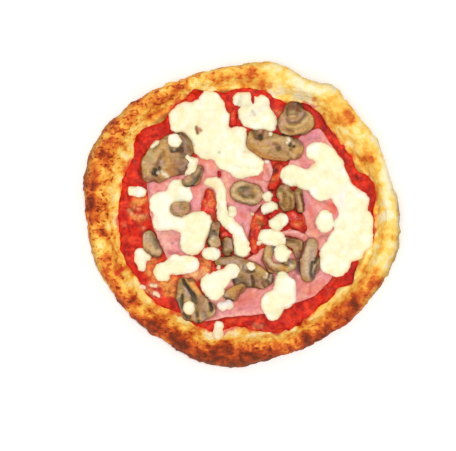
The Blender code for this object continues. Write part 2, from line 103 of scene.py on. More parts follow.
def makeStudio():
    scene = bpy.context.scene
    scene.view_settings.view_transform = "Standard"
    camera = bpy.data.objects.new("camera", bpy.data.cameras.new("camera"))
    camera.data.lens = studio["lens"]
    camera.data.sensor_width = studio["sensor"]
    distance = studio["lens"] / studio["sensor"] * studio["photoWidth"] + studio["trueHeight"]
    offsetX = studio["photoMiddleX"] - sheet["middleX"]
    offsetY = sheet["middleY"] - studio["photoMiddleY"]
    camera.location = (offsetX * mm, offsetY * mm, distance * mm)  # straight down, as in the photo
    scene.collection.objects.link(camera)
    scene.camera = camera

    world = bpy.data.worlds.new("soft room")
    world.use_nodes = True
    scene.world = world
    background = world.node_tree.nodes["Background"]
    air = (*linearColour(studio["air"]), 1)
    setInputs(background, {"Color": air, "Strength": studio["airStrength"]})
    for name in ("key", "fill"):
        lamp = bpy.data.lights.new(name, "SUN")
        lamp.energy = studio[name + "Strength"]
        lamp.angle = math.radians(studio[name + "Spread"])
        lamp.color = linearColour(studio[name + "Colour"])
        light = bpy.data.objects.new(name, lamp)
        light.location = studio[name + "From"]
        light.rotation_euler = (-light.location).to_track_quat("-Z", "Y").to_euler()
        scene.collection.objects.link(light)

    # Matt white paper: its tooth is too fine to see, so it only keeps the floor from being flat.
    material, tree, shader, place = startMaterial("matt white paper")
    grit = {"Scale": perMetre(studio["paperTooth"]), "Detail": 3.0}
    tooth = addNode(tree, "ShaderNodeTexNoise", grit, {"Vector": place})
    tone = addNode(tree, "ShaderNodeValToRGB", links={"Fac": tooth.outputs["Fac"]},
                   stops=[(0.3, studio["paperShade"]), (0.7, studio["paper"])])
    tree.links.new(tone.outputs["Color"], shader.inputs["Base Color"])
    setInputs(shader, {"Roughness": 0.9, "Specular IOR Level": 0.2})
    half = studio["paperSize"] / 2
    mesh = bpy.data.meshes.new("floor")
    corners = [(-half, -half, 0), (half, -half, 0), (half, half, 0), (-half, half, 0)]
    mesh.from_pydata(corners, [], [(0, 1, 2, 3)])
    mesh.materials.append(material)
    floor = bpy.data.objects.new("floor", mesh)
    floor.location.z = -0.2 * mm
    scene.collection.objects.link(floor)
    print("studio ready")


makeStudio()


def smoothNoise(x, y, size, seed, z=0.0):
    # soft bumps about one size apart, from -1 to 1
    table = np.random.default_rng(seed).uniform(-1, 1, (noiseCells, noiseCells, 8))
    place = np.stack(np.broadcast_arrays(np.asarray(x) / size, np.asarray(y) / size, z / size + 0.4))
    corner = np.floor(place).astype(int)
    share = place - corner
    share = share * share * (3 - 2 * share)
    total = 0.0
    for pick in range(8):
        steps = [pick & 1, pick >> 1 & 1, pick >> 2]
        weight = 1.0
        for axis in range(3):
            weight = weight * (share[axis] if steps[axis] else 1 - share[axis])
        a, b, c = (corner[axis] + steps[axis] for axis in range(3))
        total = total + weight * table[a % noiseCells, b % noiseCells, c % 8]
    return total


def layeredNoise(x, y, layers, seed, z=0.0):
    # each layer is the size of its bumps and their height, in millimetres
    return sum(height * smoothNoise(x, y, size, seed + k, z) for k, (size, height) in enumerate(layers))


def fade(value, start, end):
    share = np.clip((value - start) / (end - start), 0, 1)
    return share * share * (3 - 2 * share)


def bandDistance(x, y, start, end):
    # distance to a tapered band between two blobs, below zero inside it
    (ax, ay, ar), (bx, by, br) = start, end
    dx, dy = bx - ax, by - ay
    t = np.clip(((x - ax) * dx + (y - ay) * dy) / max(dx * dx + dy * dy, 1e-9), 0, 1)
    return np.hypot(x - ax - t * dx, y - ay - t * dy) - (ar + (br - ar) * t)


def strokeField(x, y, strokes, melt):
    # below zero inside the strokes, which run softly into one another
    total = 0.0
    for stroke in strokes:
        ends = stroke[1:] or stroke
        nearest = np.min([bandDistance(x, y, a, b) for a, b in zip(stroke, ends)], axis=0)
        total = total + np.exp(-np.clip(nearest / melt, -60, 60))
    return -melt * np.log(total)


def cornerField(x, y, corners, rounding):
    # below zero inside the polygon, whose corners are rounded outwards
    nearest = np.full(np.shape(x), 1e9)
    inside = np.zeros(np.shape(x), bool)
    for (ax, ay), (bx, by) in zip(corners, corners[1:] + corners[:1]):
        nearest = np.minimum(nearest, bandDistance(x, y, (ax, ay, 0), (bx, by, 0)))
        rise = by - ay if by != ay else 1e-9
        inside ^= ((ay > y) != (by > y)) & (x < ax + (bx - ax) * (y - ay) / rise)
    return np.where(inside, -nearest, nearest) - rounding


def strokeMask(x, y, stroke, softness):
    # one inside a stroke and nothing outside it, with a soft edge
    field = strokeField(x, y, [stroke], 0.5) - 0.45
    return 1 / (1 + np.exp(np.clip(field / softness, -40, 40)))


def cutSheet(fieldAt, low, high, spacing):
    # an even lattice of triangles whose rim is pulled onto the outline
    rise = spacing * math.sqrt(3) / 2
    columns = int((high[0] - low[0]) / spacing) + 4
    rows = int((high[1] - low[1]) / rise) + 4
    row, column = np.mgrid[0:rows, 0:columns]
    x = low[0] + (column - 1.5 + 0.5 * (row % 2)) * spacing
    y = low[1] + (row - 1.5) * rise
    plan = np.stack([x.ravel(), y.ravel()], 1)
    here = (row * columns + column)[:-1, :-1].ravel()
    odd = (row[:-1, :-1] % 2).ravel() == 1
    right, above, across = here + 1, here + columns, here + columns + 1
    first = np.stack([here, np.where(odd, across, right), above], 1)
    second = [np.where(odd, here, right), np.where(odd, right, across), np.where(odd, across, above)]
    triangles = np.concatenate([first, np.stack(second, 1)])
    inside = fieldAt(plan[:, 0], plan[:, 1]) < -0.3 * spacing
    triangles = triangles[inside[triangles].any(1)]
    used, triangles = np.unique(triangles, return_inverse=True)
    triangles = triangles.reshape(-1, 3)
    plan, inside = plan[used], inside[used]
    moving = plan[~inside]
    reach, pulls = 0.1, 4
    for pull in range(pulls):
        x, y = moving[:, 0], moving[:, 1]
        value = fieldAt(x, y)
        slopeX = (fieldAt(x + reach, y) - fieldAt(x - reach, y)) / (2 * reach)
        slopeY = (fieldAt(x, y + reach) - fieldAt(x, y - reach)) / (2 * reach)
        size = np.maximum(slopeX**2 + slopeY**2, 0.3)
        moving = moving - np.stack([value * slopeX / size, value * slopeY / size], 1)
    plan[~inside] = moving
    return plan, triangles[:, [0, 2, 1]]  # y runs down the sheet, so the turn is swapped


def closeSheet(plan, triangles, low, high):
    # a closed solid between two heights over one plan
    count = len(plan)
    points = np.concatenate([np.column_stack([plan, low]), np.column_stack([plan, high])])
    edges = np.concatenate([triangles[:, [0, 1]], triangles[:, [1, 2]], triangles[:, [2, 0]]])
    lone = ~np.isin(edges[:, 0] * count + edges[:, 1], edges[:, 1] * count + edges[:, 0])
    a, b = edges[lone].T
    walls = np.concatenate([np.stack([a, b, b + count], 1), np.stack([a, b + count, a + count], 1)])
    return points, np.concatenate([triangles[:, ::-1], triangles + count, walls])


def makePiece(name, points, faces, material, node, masks):
    # points are on the sheet; the piece is put where the pizza stands
    place = points - np.array([sheet["middleX"], sheet["middleY"], 0])
    place = place * np.array([1, -1, 1]) * mm
    mesh = bpy.data.meshes.new(name)
    mesh.from_pydata(place.tolist(), [], faces if isinstance(faces, list) else faces.tolist())
    mesh.shade_smooth()
    mesh.materials.append(material)
    for key, values in masks.items():
        if values.ndim == 2:
            attribute = mesh.color_attributes.new(key, "FLOAT_COLOR", "POINT")
            attribute.data.foreach_set("color", np.column_stack([values, np.ones(len(values))]).ravel())
        else:
            mesh.attributes.new(key, "FLOAT", "POINT").data.foreach_set("value", values)
    piece = bpy.data.objects.new(name, mesh)
    bpy.context.scene.collection.objects.link(piece)
    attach(piece, "root")
    if node:
        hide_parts(node)
    return mesh


# The ground is a map of how high the pizza reaches so far.
ground = np.zeros((sheet["rows"], sheet["columns"]))
gridY, gridX = np.mgrid[0:sheet["rows"], 0:sheet["columns"]] * sheet["step"]
gridX = gridX + sheet["left"]
gridY = gridY + sheet["top"]
order = np.zeros(ground.shape, int)  # which topping lies uppermost, by the order of laying
laid = []


def nearestCells(x, y):
    # the map's rows and columns nearest to places on the sheet
    row = np.rint((y - sheet["top"]) / sheet["step"]).astype(int)
    column = np.rint((x - sheet["left"]) / sheet["step"]).astype(int)
    return row, column


def readGrid(values, x, y, left, top):
    # a map's value between its grid points
    column = np.clip((x - left) / sheet["step"], 0, values.shape[1] - 1.001)
    row = np.clip((y - top) / sheet["step"], 0, values.shape[0] - 1.001)
    c, r = column.astype(int), row.astype(int)
    u, v = column - c, row - r
    near = values[r, c] * (1 - u) + values[r, c + 1] * u
    far = values[r + 1, c] * (1 - u) + values[r + 1, c + 1] * u
    return near * (1 - v) + far * v


def settle(floor, inside, reaches):
    # a sheet bridges the steps in what it lies on; each reach is in grid steps
    height = np.where(inside, floor, 0.0)
    for reach in reaches:
        total, count = np.zeros(height.shape), np.zeros(height.shape)
        for down, right in ((reach, 0), (-reach, 0), (0, reach), (0, -reach)):
            total += np.roll(height, (down, right), (0, 1))
            count += np.roll(inside, (down, right), (0, 1))
        height = np.where(inside, np.maximum(height, total / np.maximum(count, 1)), 0.0)
    return height


laying = {
    "skip": 4, "margin": 8,
    "beyond": 2.5, "carried": 1.2,  # how far past its outline it is looked at and bridged over
    "cutMelt": 0.6, "swaySize": 3.0, "wornSize": 8.0,
}


# How a topping is written down: its outline is corners of a polygon, strokes of blobs that join up,
# or loose chunks, and each blob is x, y and radius on the sheet. Cuts are strokes taken out of it.
# A mark is a colour, its strength and softness and, where it is pressed in or raised, its lift in
# millimetres, then the stroke that it follows.
def readBlobs(text):
    return [tuple(float(number) for number in blob.split()) for blob in text.split(",")]


def readMark(text):
    settings, stroke = text.split(":")
    colour, strength, softness, *lift = settings.split()
    return colour, float(strength), float(softness), float(lift[0]) if lift else 0.0, readBlobs(stroke)


def layTopping(topping, kind, material):
    # cuts one topping, rounds its edge, drapes it over the ground and paints its marks
    title = topping.get("name") or topping["node"] + kind["ending"]
    seed = sum(ord(letter) * (k + 1) for k, letter in enumerate(title))
    corners = [corner for text in topping.get("corners", ()) for corner in readBlobs(text)]
    strokes = [readBlobs(text) for text in topping.get("strokes", ())]
    strokes += [[blob] for text in topping.get("chunks", ()) for blob in readBlobs(text)]
    cuts = [readBlobs(text) for text in topping.get("cuts", ())]
    marks = [readMark(text) for text in topping.get("marks", ())]

    def fieldAt(x, y):
        if corners:
            value = cornerField(x, y, corners, kind["rounding"])
        elif "fieldAt" in topping:
            value = topping["fieldAt"](x, y)
        else:
            value = strokeField(x, y, strokes, kind["melt"])
        if cuts:
            value = np.maximum(value, -strokeField(x, y, cuts, laying["cutMelt"]))
        return value + layeredNoise(x, y, kind["wobble"], seed)

    def swayed(x, y):
        # painted and pressed marks wander a little, so that none is drawn with a ruler
        sway = ((laying["swaySize"], kind["sway"]),)
        return x + layeredNoise(x, y, sway, seed + 70), y + layeredNoise(x, y, sway, seed + 80)

    def grained(x, y):
        # places turned to the topping's grain, which draws its patterns out
        grain = math.radians(topping.get("grain", 0))
        along = (x * math.cos(grain) + y * math.sin(grain)) * kind["grainShare"]
        return along, y * math.cos(grain) - x * math.sin(grain)

    skip, margin = laying["skip"], laying["margin"]
    value = fieldAt(gridX[::skip, ::skip], gridY[::skip, ::skip])
    rows, columns = np.nonzero(value < laying["beyond"])
    rows = slice(max(rows.min() * skip - margin, 0), rows.max() * skip + margin + 1)
    columns = slice(max(columns.min() * skip - margin, 0), columns.max() * skip + margin + 1)
    x, y, floor = gridX[rows, columns], gridY[rows, columns], ground[rows, columns]
    value = fieldAt(x, y)
    left, top = x[0, 0], y[0, 0]

    depth = np.maximum(-value, 0)
    share = np.clip(depth / kind["roundOver"], 0, 1)
    bulge = np.sqrt(1 - (1 - share) ** 2)
    thickness = kind["rim"] + (kind["thickness"] - kind["rim"]) * bulge
    for bx, by, radius in [blob for stroke in strokes for blob in stroke]:
        near = np.maximum(0, 1 - ((x - bx) ** 2 + (y - by) ** 2) / radius**2)
        thickness += kind["dome"] * near * share
    thickness -= kind.get("sag", 0) * fade(depth, 1.2, 3.5)
    pressedX, pressedY = swayed(x, y)
    for colour, strength, softness, lift, stroke in marks:
        if lift:
            thickness += lift * strokeMask(pressedX, pressedY, stroke, softness)
    thickness += layeredNoise(*grained(x, y), kind["relief"], seed + 40) * (0.25 + 0.75 * share)
    carried = settle(floor, value < laying["carried"], kind["bridge"])
    if kind["melted"]:
        carried = floor + (carried - floor) * share
    high = carried + np.maximum(thickness, kind["thinnest"])

    inside = np.nonzero(value < 0)
    low = (x[inside].min(), y[inside].min())
    far = (x[inside].max(), y[inside].max())
    plan, triangles = cutSheet(fieldAt, low, far, kind["spacing"])
    px, py = plan[:, 0], plan[:, 1]
    upper = readGrid(high, px, py, left, top)
    under = readGrid(carried, px, py, left, top) - kind["sink"]
    points, faces = closeSheet(plan, triangles, under, upper)

    edge = np.maximum(-fieldAt(px, py), 0)
    swayX, swayY = swayed(px, py)
    tint = np.tile(np.array(linearColour(kind["base"])), (len(px), 1))

    def paint(colour, mask):
        nonlocal tint
        tint = tint + mask[:, None] * (np.array(linearColour(kind[colour])) - tint)

    grainX, grainY = grained(px, py)
    for k, (colour, strength, size, start, end) in enumerate(kind["mottle"]):
        paint(colour, strength * fade(smoothNoise(grainX, grainY, size, seed + 90 + k), start, end))
    colour, strength, width = topping.get("edge", kind["edge"])
    worn = np.clip(0.75 + 0.7 * smoothNoise(px, py, laying["wornSize"], seed + 60), 0, 1)
    paint(colour, strength * worn * np.exp(-edge / width))
    for colour, strength, softness, lift, stroke in marks:
        paint(colour, strength * strokeMask(swayX, swayY, stroke, softness))

    number = len(laid) + 1
    ground[rows, columns] = np.where(value < 0, np.maximum(floor, high), floor)
    order[rows, columns] = np.where(value < 0, number, order[rows, columns])
    masks = {"tint": np.concatenate([tint, tint])}
    mesh = makePiece(title, points, faces, material, topping.get("node"), masks)
    laid.append((mesh, number, plan, upper, kind))


def layAll(toppings, kind, material):
    # in the order in which they lie on one another
    for topping in toppings:
        layTopping(topping, kind, material)
    print(len(toppings), "of", material.name, "laid")


contacts = {"turns": 16, "near": 0.9, "far": 2.4, "fullRise": 1.2, "strength": 1.45}


def deepenContacts():
    # painted shade: the tint darkens where a later topping lies over a piece's surface, standing for less
    # light coming in there and for juice that gathers
    turns = contacts["turns"]
    covers = np.array([0] + [kind["cover"] for mesh, number, plan, upper, kind in laid])
    for mesh, number, plan, upper, kind in laid:
        lost = np.zeros(len(plan))
        for turn in range(turns):
            reach = contacts["far"] if turn % 2 else contacts["near"]
            x = plan[:, 0] + reach * math.cos(turn * math.tau / turns)
            y = plan[:, 1] + reach * math.sin(turn * math.tau / turns)
            cells = nearestCells(x, y)
            rise = np.clip((ground[cells] - upper) / contacts["fullRise"], 0, 1)
            lost += np.where(order[cells] > number, rise * covers[order[cells]], 0) / turns
        attribute = mesh.color_attributes["tint"]
        colours = np.zeros(len(attribute.data) * 4)
        attribute.data.foreach_get("color", colours)
        colours = colours.reshape(-1, 4)
        share = np.clip(np.concatenate([lost, lost]) * contacts["strength"], 0, 1)[:, None]
        colours[:, :3] *= 1 - share * (1 - np.array(linearColour(kind["contactShade"])))
        attribute.data.foreach_set("color", colours.ravel())
    print("contacts deepened")


crust = {
    # the round, as radii about the hub every 15 degrees from the right and anticlockwise
    "hubX": 241.5, "hubY": 214.0,
    "outer": (158.5, 153.5, 154.5, 153, 153.5, 156, 150, 148, 150, 156, 162, 163,
              156, 154, 152, 150, 150, 153, 152.5, 147, 148.5, 152, 156, 160.5),
    "inner": (133.5, 133, 124.5, 122, 128.5, 120, 127, 128, 127.5, 130, 123, 124,
              124.5, 125.5, 122.5, 125.5, 118, 122, 112, 120.5, 122, 123.5, 131, 133),
    "knobs": ((53, 4.5, 5.0), (66, 5, -3.5), (112, 5, -1.5)),
    "bubbles": ((84, 9, 2.4), (58, 6, 1.4), (36, 7, 1.8), (128, 8, 1.6), (152, 9, 2.2), (176, 7, 2.0),
                (203, 8, 2.4), (226, 7, 1.5), (247, 8, 2.2), (275, 8, 2.0), (300, 6, 1.4), (322, 9, 2.4),
                (352, 8, 1.2)),
    "waves": ((3, 0.9, 0.6), (5, 0.8, 2.1), (8, 0.6, 4.0), (17, 0.6, 1.3)),
    "height": 19.0, "base": 4.0, "widest": 6.0, "foot": 6.0,
    "crownShare": 0.56, "crownSway": 2.2, "lean": 0.14, "leanAngle": -15, "roundness": 0.9,
    "sections": 1150, "footSteps": 8, "outerSteps": 24, "innerSteps": 28,
    "baseRings": (0.97, 0.8, 0.5, 0.2),
    "footRings": (0.98, 0.95, 0.9, 0.85, 0.8, 0.72, 0.64, 0.56, 0.46, 0.36, 0.24, 0.12),
    "relief": ((15, 1.1), (7, 1.0), (3.4, 0.6), (1.9, 0.32)),
    "grit": 0.35, "creases": 0.9, "dimples": 0.5,  # millimetres
    # how deeply it is baked on the inner slope, the crown and the outer side, every 15 degrees
    "bakedInner": (0.28, 0.27, 0.24, 0.26, 0.16, 0.19, 0.43, 0.28, 0.44, 0.40, 0.35, 0.29,
                   0.26, 0.36, 0.37, 0.39, 0.38, 0.26, 0.31, 0.31, 0.45, 0.37, 0.31, 0.26),
    "bakedCrown": (0.06, 0.32, 0.32, 0.40, 0.17, 0.36, 0.40, 0.42, 0.58, 0.55, 0.50, 0.54,
                   0.52, 0.53, 0.58, 0.66, 0.70, 0.62, 0.63, 0.57, 0.70, 0.67, 0.60, 0.27),
    "bakedOuter": (0.20, 0.10, 0.22, 0.42, 0.20, 0.33, 0.31, 0.40, 0.46, 0.54, 0.56, 0.61,
                   0.64, 0.42, 0.64, 0.76, 0.84, 0.90, 0.89, 0.73, 0.82, 0.77, 0.53, 0.27),
    # painted shade on the outer side, every 15 degrees
    "paintedShade": (0.95, 0.27, 0.30, 0.10, 0.70, 0.22, 0.58, 0.36, 0.14, 0.45, 0.64, 0.84,
             0.24, 0.58, 0.20, 0.18, 0.24, 0.50, 0.60, 0.35, 0.15, 0.25, 0.75, 0.75),
    # where the sauce crept up the rim or stayed away from it: degrees, half width, millimetres
    "creep": ((112, 4, 4.5), (120, 4, 1.5), (131, 6, -8.0), (145, 6, 3.5), (80, 7, 3.5), (50, 6, 3.0),
              (35, 5, 1.0), (12, 5, 2.0), (205, 4, 2.5), (295, 5, 2.6), (290, 4, 2.2), (286, 3, 1.0),
              (322, 4, -4.0), (328, 3, 2.5), (338, 6, -6.5), (275, 6, 2.0), (98, 5, -5.0), (22, 4, -4.5),
              (180, 5, -1.5), (66, 4, -3.5)),
    "speckled": (0.1, 0.2, 0.1, 0.45, 0.8, 1.0, 1.0, 0.8, 0.7, 0.6, 0.6, 0.4),
    "paleAngle": -6, "crackAngle": 268, "streakAngle": 290, "darkest": 0.84,
    "paintedShadeColour": "#744A28", "stainColour": "#D2321A",
    "placeStrength": 0.55,
    # browned and pale places: x, y, radius, change
    "places": (
        (107, 155, 8, 0.34), (95, 185, 6, 0.36), (98, 172, 5, 0.16), (125, 136, 3, 0.28),
        (148, 116, 4, 0.18), (158, 92, 3.5, 0.24), (137, 102, 3.5, 0.30), (158, 107, 9, 0.12),
        (117, 125, 5, 0.24), (126, 121, 5, 0.14), (187, 82, 2.6, 0.28), (176, 88, 3.5, 0.20),
        (210, 78, 4, 0.26), (221, 75, 6, 0.16), (220, 90, 4, 0.22), (125, 144, 7, -0.16),
        (139, 119, 6, -0.16), (112, 170, 6, -0.12), (148, 100, 4, -0.14), (197, 80, 9, -0.20),
        (170, 82, 6, -0.20), (95, 208, 6, 0.24), (99, 217, 4, 0.32), (103, 233, 4.5, 0.36),
        (93, 200, 4, 0.26), (103, 246, 7, -0.34), (112, 257, 5, 0.20), (122, 266, 4.5, 0.30),
        (108, 283, 4, 0.20), (130, 285, 6, -0.26), (133, 297, 3, 0.26), (126, 304, 3, 0.24),
        (135, 315, 4, 0.26), (155, 325, 6, 0.14), (165, 321, 4, 0.22), (175, 333, 6, 0.30),
        (186, 343, 8, 0.30), (196, 347, 6, 0.24), (193, 333, 2.6, 0.30), (196, 320, 7, -0.22),
        (217, 336, 8, -0.32), (231, 331, 6, -0.26), (226, 348, 8, 0.24), (243, 350, 7, 0.24),
        (211, 358, 5, 0.20), (305, 337, 4.5, 0.30), (322, 330, 8, 0.22), (335, 324, 7, 0.24),
        (345, 308, 6, 0.30), (356, 302, 5, 0.26), (363, 296, 4, 0.30), (339, 316, 5, 0.18),
        (372, 268, 6, 0.20), (364, 277, 8, 0.14), (360, 262, 5, -0.08), (340, 290, 8, -0.20),
        (318, 312, 6, -0.10), (270, 334, 10, -0.22), (290, 330, 6, -0.14), (285, 345, 8, 0.10),
        (379, 280, 5, 0.24), (248, 72, 6, 0.22), (262, 76, 8, 0.20), (242, 80, 7, 0.14),
        (256, 60, 3.5, 0.30), (277, 78, 7, 0.10), (303, 75, 4.5, 0.34), (311, 80, 4, 0.26),
        (270, 65, 8, -0.26), (288, 69, 8, -0.24), (322, 95, 11, -0.20), (299, 92, 9, -0.20),
        (336, 91, 8, -0.20), (322, 102, 3, 0.20), (333, 106, 3, 0.20), (341, 113, 8, 0.16),
        (336, 124, 4.5, 0.36), (352, 122, 4.5, 0.36), (347, 119, 6, 0.12), (366, 156, 6, 0.40),
        (374, 163, 5.5, 0.38), (386, 262, 6, -0.20), (369, 150, 7, 0.16), (361, 166, 4, 0.16),
        (381, 186, 3.5, 0.16), (386, 150, 8, -0.24), (391, 176, 7, -0.30), (392, 208, 5, 0.16),
        (390, 241, 6, 0.16), (376, 215, 6, 0.08), (372, 250, 7, 0.02),
    ),
    # where a ladle of sauce smeared it: x, y, radius, strength
    "smears": ((118, 273, 2.6, 0.9), (122, 269, 2.8, 0.9), (127, 266, 2.2, 0.7), (156, 309, 2.4, 0.45),
               (112, 217, 3, 0.3), (116, 211, 2.4, 0.4), (136, 296, 2.4, 0.3), (178, 100, 3, 0.7),
               (186, 96, 3, 0.6), (262, 84, 3, 0.6), (270, 86, 3, 0.5), (314, 100, 2.4, 0.5),
               (343, 126, 2.2, 0.4), (362, 282, 2.4, 0.4)),
    # blisters that stand proud: x, y, radius, height
    "blisters": (
        (107, 155, 9, 1.6), (95, 186, 7, 1.4), (103, 233, 6, 1.2), (97, 211, 7, 1.4), (122, 266, 6, 1.0),
        (155, 325, 9, 1.2), (186, 342, 11, 1.8), (228, 347, 9, 1.3), (305, 336, 8, 1.2), (335, 323, 9, 1.4),
        (352, 304, 8, 1.3), (250, 74, 10, 1.4), (343, 117, 9, 1.3), (369, 157, 9, 1.3), (159, 106, 9, 1.0),
        (117, 124, 7, 1.0), (213, 78, 7, 1.0), (386, 235, 9, 0.9), (381, 190, 7, 0.8), (303, 76, 6, 0.9),
    ),
}


def roundCurve(values, angle):
    # a smooth closed curve through values that are evenly spaced round the circle
    values = np.array(values, float)
    place = np.mod(angle / math.tau, 1) * len(values)
    start = np.floor(place).astype(int)
    t = place - start
    a, b, c, d = (values[(start + k) % len(values)] for k in (-1, 0, 1, 2))
    return (2 * b + (c - a) * t + (2 * a - 5 * b + 4 * c - d) * t**2 + (3 * b - a - 3 * c + d) * t**3) / 2


def swellings(bumps, angle):
    total = 0.0
    for place, halfLength, size in bumps:
        away = np.mod(np.degrees(angle) - place + 180, 360) - 180
        total = total + size * np.exp(-((away / halfLength) ** 2))
    return total


def innerEdge(angle):
    return roundCurve(crust["inner"], angle)


def makeCrustMaterial():
    # Wheat dough baked in a deck oven: dry and matt, cream where it is thin in colour, then gold,
    # orange and brown where it blistered, with a fine speckle of scorched tips.
    material, tree, shader, place = startMaterial("baked wheat crust")
    bake, speckled, stain, flankShade = (
        addNode(tree, "ShaderNodeAttribute", attribute_name=mask).outputs["Fac"]
        for mask in ("bake", "speckled", "stain", "flankShade")
    )
    stretched = addNode(tree, "ShaderNodeMapping", {"Scale": (0.8, 1.2, 1.0)}, {"Vector": place})
    wide = stretched.outputs["Vector"]
    # blotches, round scorched spots, small pits and grain, each as millimetres, range and change
    total = bake
    for size, start, end, least, most, detail, mask in (
        (15.0, 0.36, 0.64, -0.12, 0.12, 1.0, None),
        (8.0, 0.36, 0.64, -0.08, 0.08, 1.0, None),
        (6.5, 0.56, 0.66, 0.0, 0.12, 1.5, speckled),
        (5.0, 0.34, 0.44, -0.09, 0.0, 1.0, None),
        (3.4, 0.60, 0.66, 0.0, 0.25, 0.5, speckled),
        (1.6, 0.3, 0.7, -0.03, 0.03, 2.0, None),
    ):
        noise = addNode(tree, "ShaderNodeTexNoise", {"Scale": perMetre(size), "Detail": detail},
                        {"Vector": wide if mask else place})
        change = addNode(tree, "ShaderNodeMapRange", {1: start, 2: end, 3: least, 4: most},
                         {0: noise.outputs["Fac"]})
        amount = change.outputs[0]
        if mask:
            masked = addNode(tree, "ShaderNodeMath", links={0: amount, 1: mask}, operation="MULTIPLY")
            amount = masked.outputs[0]
        total = addNode(tree, "ShaderNodeMath", links={0: total, 1: amount}, operation="ADD").outputs[0]
    fine = noise.outputs["Fac"]
    colour = addNode(tree, "ShaderNodeValToRGB", links={"Fac": total}, stops=[
        (0.00, "#FDEEC2"), (0.12, "#FFE7A2"), (0.25, "#FFDA75"), (0.37, "#FBC554"), (0.49, "#F2A53C"),
        (0.60, "#E27F26"), (0.71, "#CE5A18"), (0.82, "#AE3E0E"), (0.93, "#8C3009"), (1.00, "#6E2807"),
    ])
    # painted shade darkens the outer side and the underside
    shadedFlank = addNode(tree, "ShaderNodeMix", {7: (*linearColour(crust["paintedShadeColour"]), 1)},
                    {0: flankShade, 6: colour.outputs["Color"]}, data_type="RGBA")  # the shaded outer side
    stained = addNode(tree, "ShaderNodeMix", {7: (*linearColour(crust["stainColour"]), 1)},
                      {0: stain, 6: shadedFlank.outputs[2]}, data_type="RGBA")  # where sauce crept up
    tree.links.new(stained.outputs[2], shader.inputs["Base Color"])
    rough = addNode(tree, "ShaderNodeMapRange", {1: 0.0, 2: 1.0, 3: 0.62, 4: 0.85}, {0: fine})
    tree.links.new(rough.outputs[0], shader.inputs["Roughness"])
    bump = addNode(tree, "ShaderNodeBump", {"Strength": 0.5, "Distance": 0.35 * mm}, {"Height": fine})
    tree.links.new(bump.outputs["Normal"], shader.inputs["Normal"])
    setInputs(shader, {
        "Subsurface Weight": 0.08, "Subsurface Radius": (1.0, 0.6, 0.3), "Subsurface Scale": 1.5 * mm,
        "Specular IOR Level": 0.25,
    })
    return material


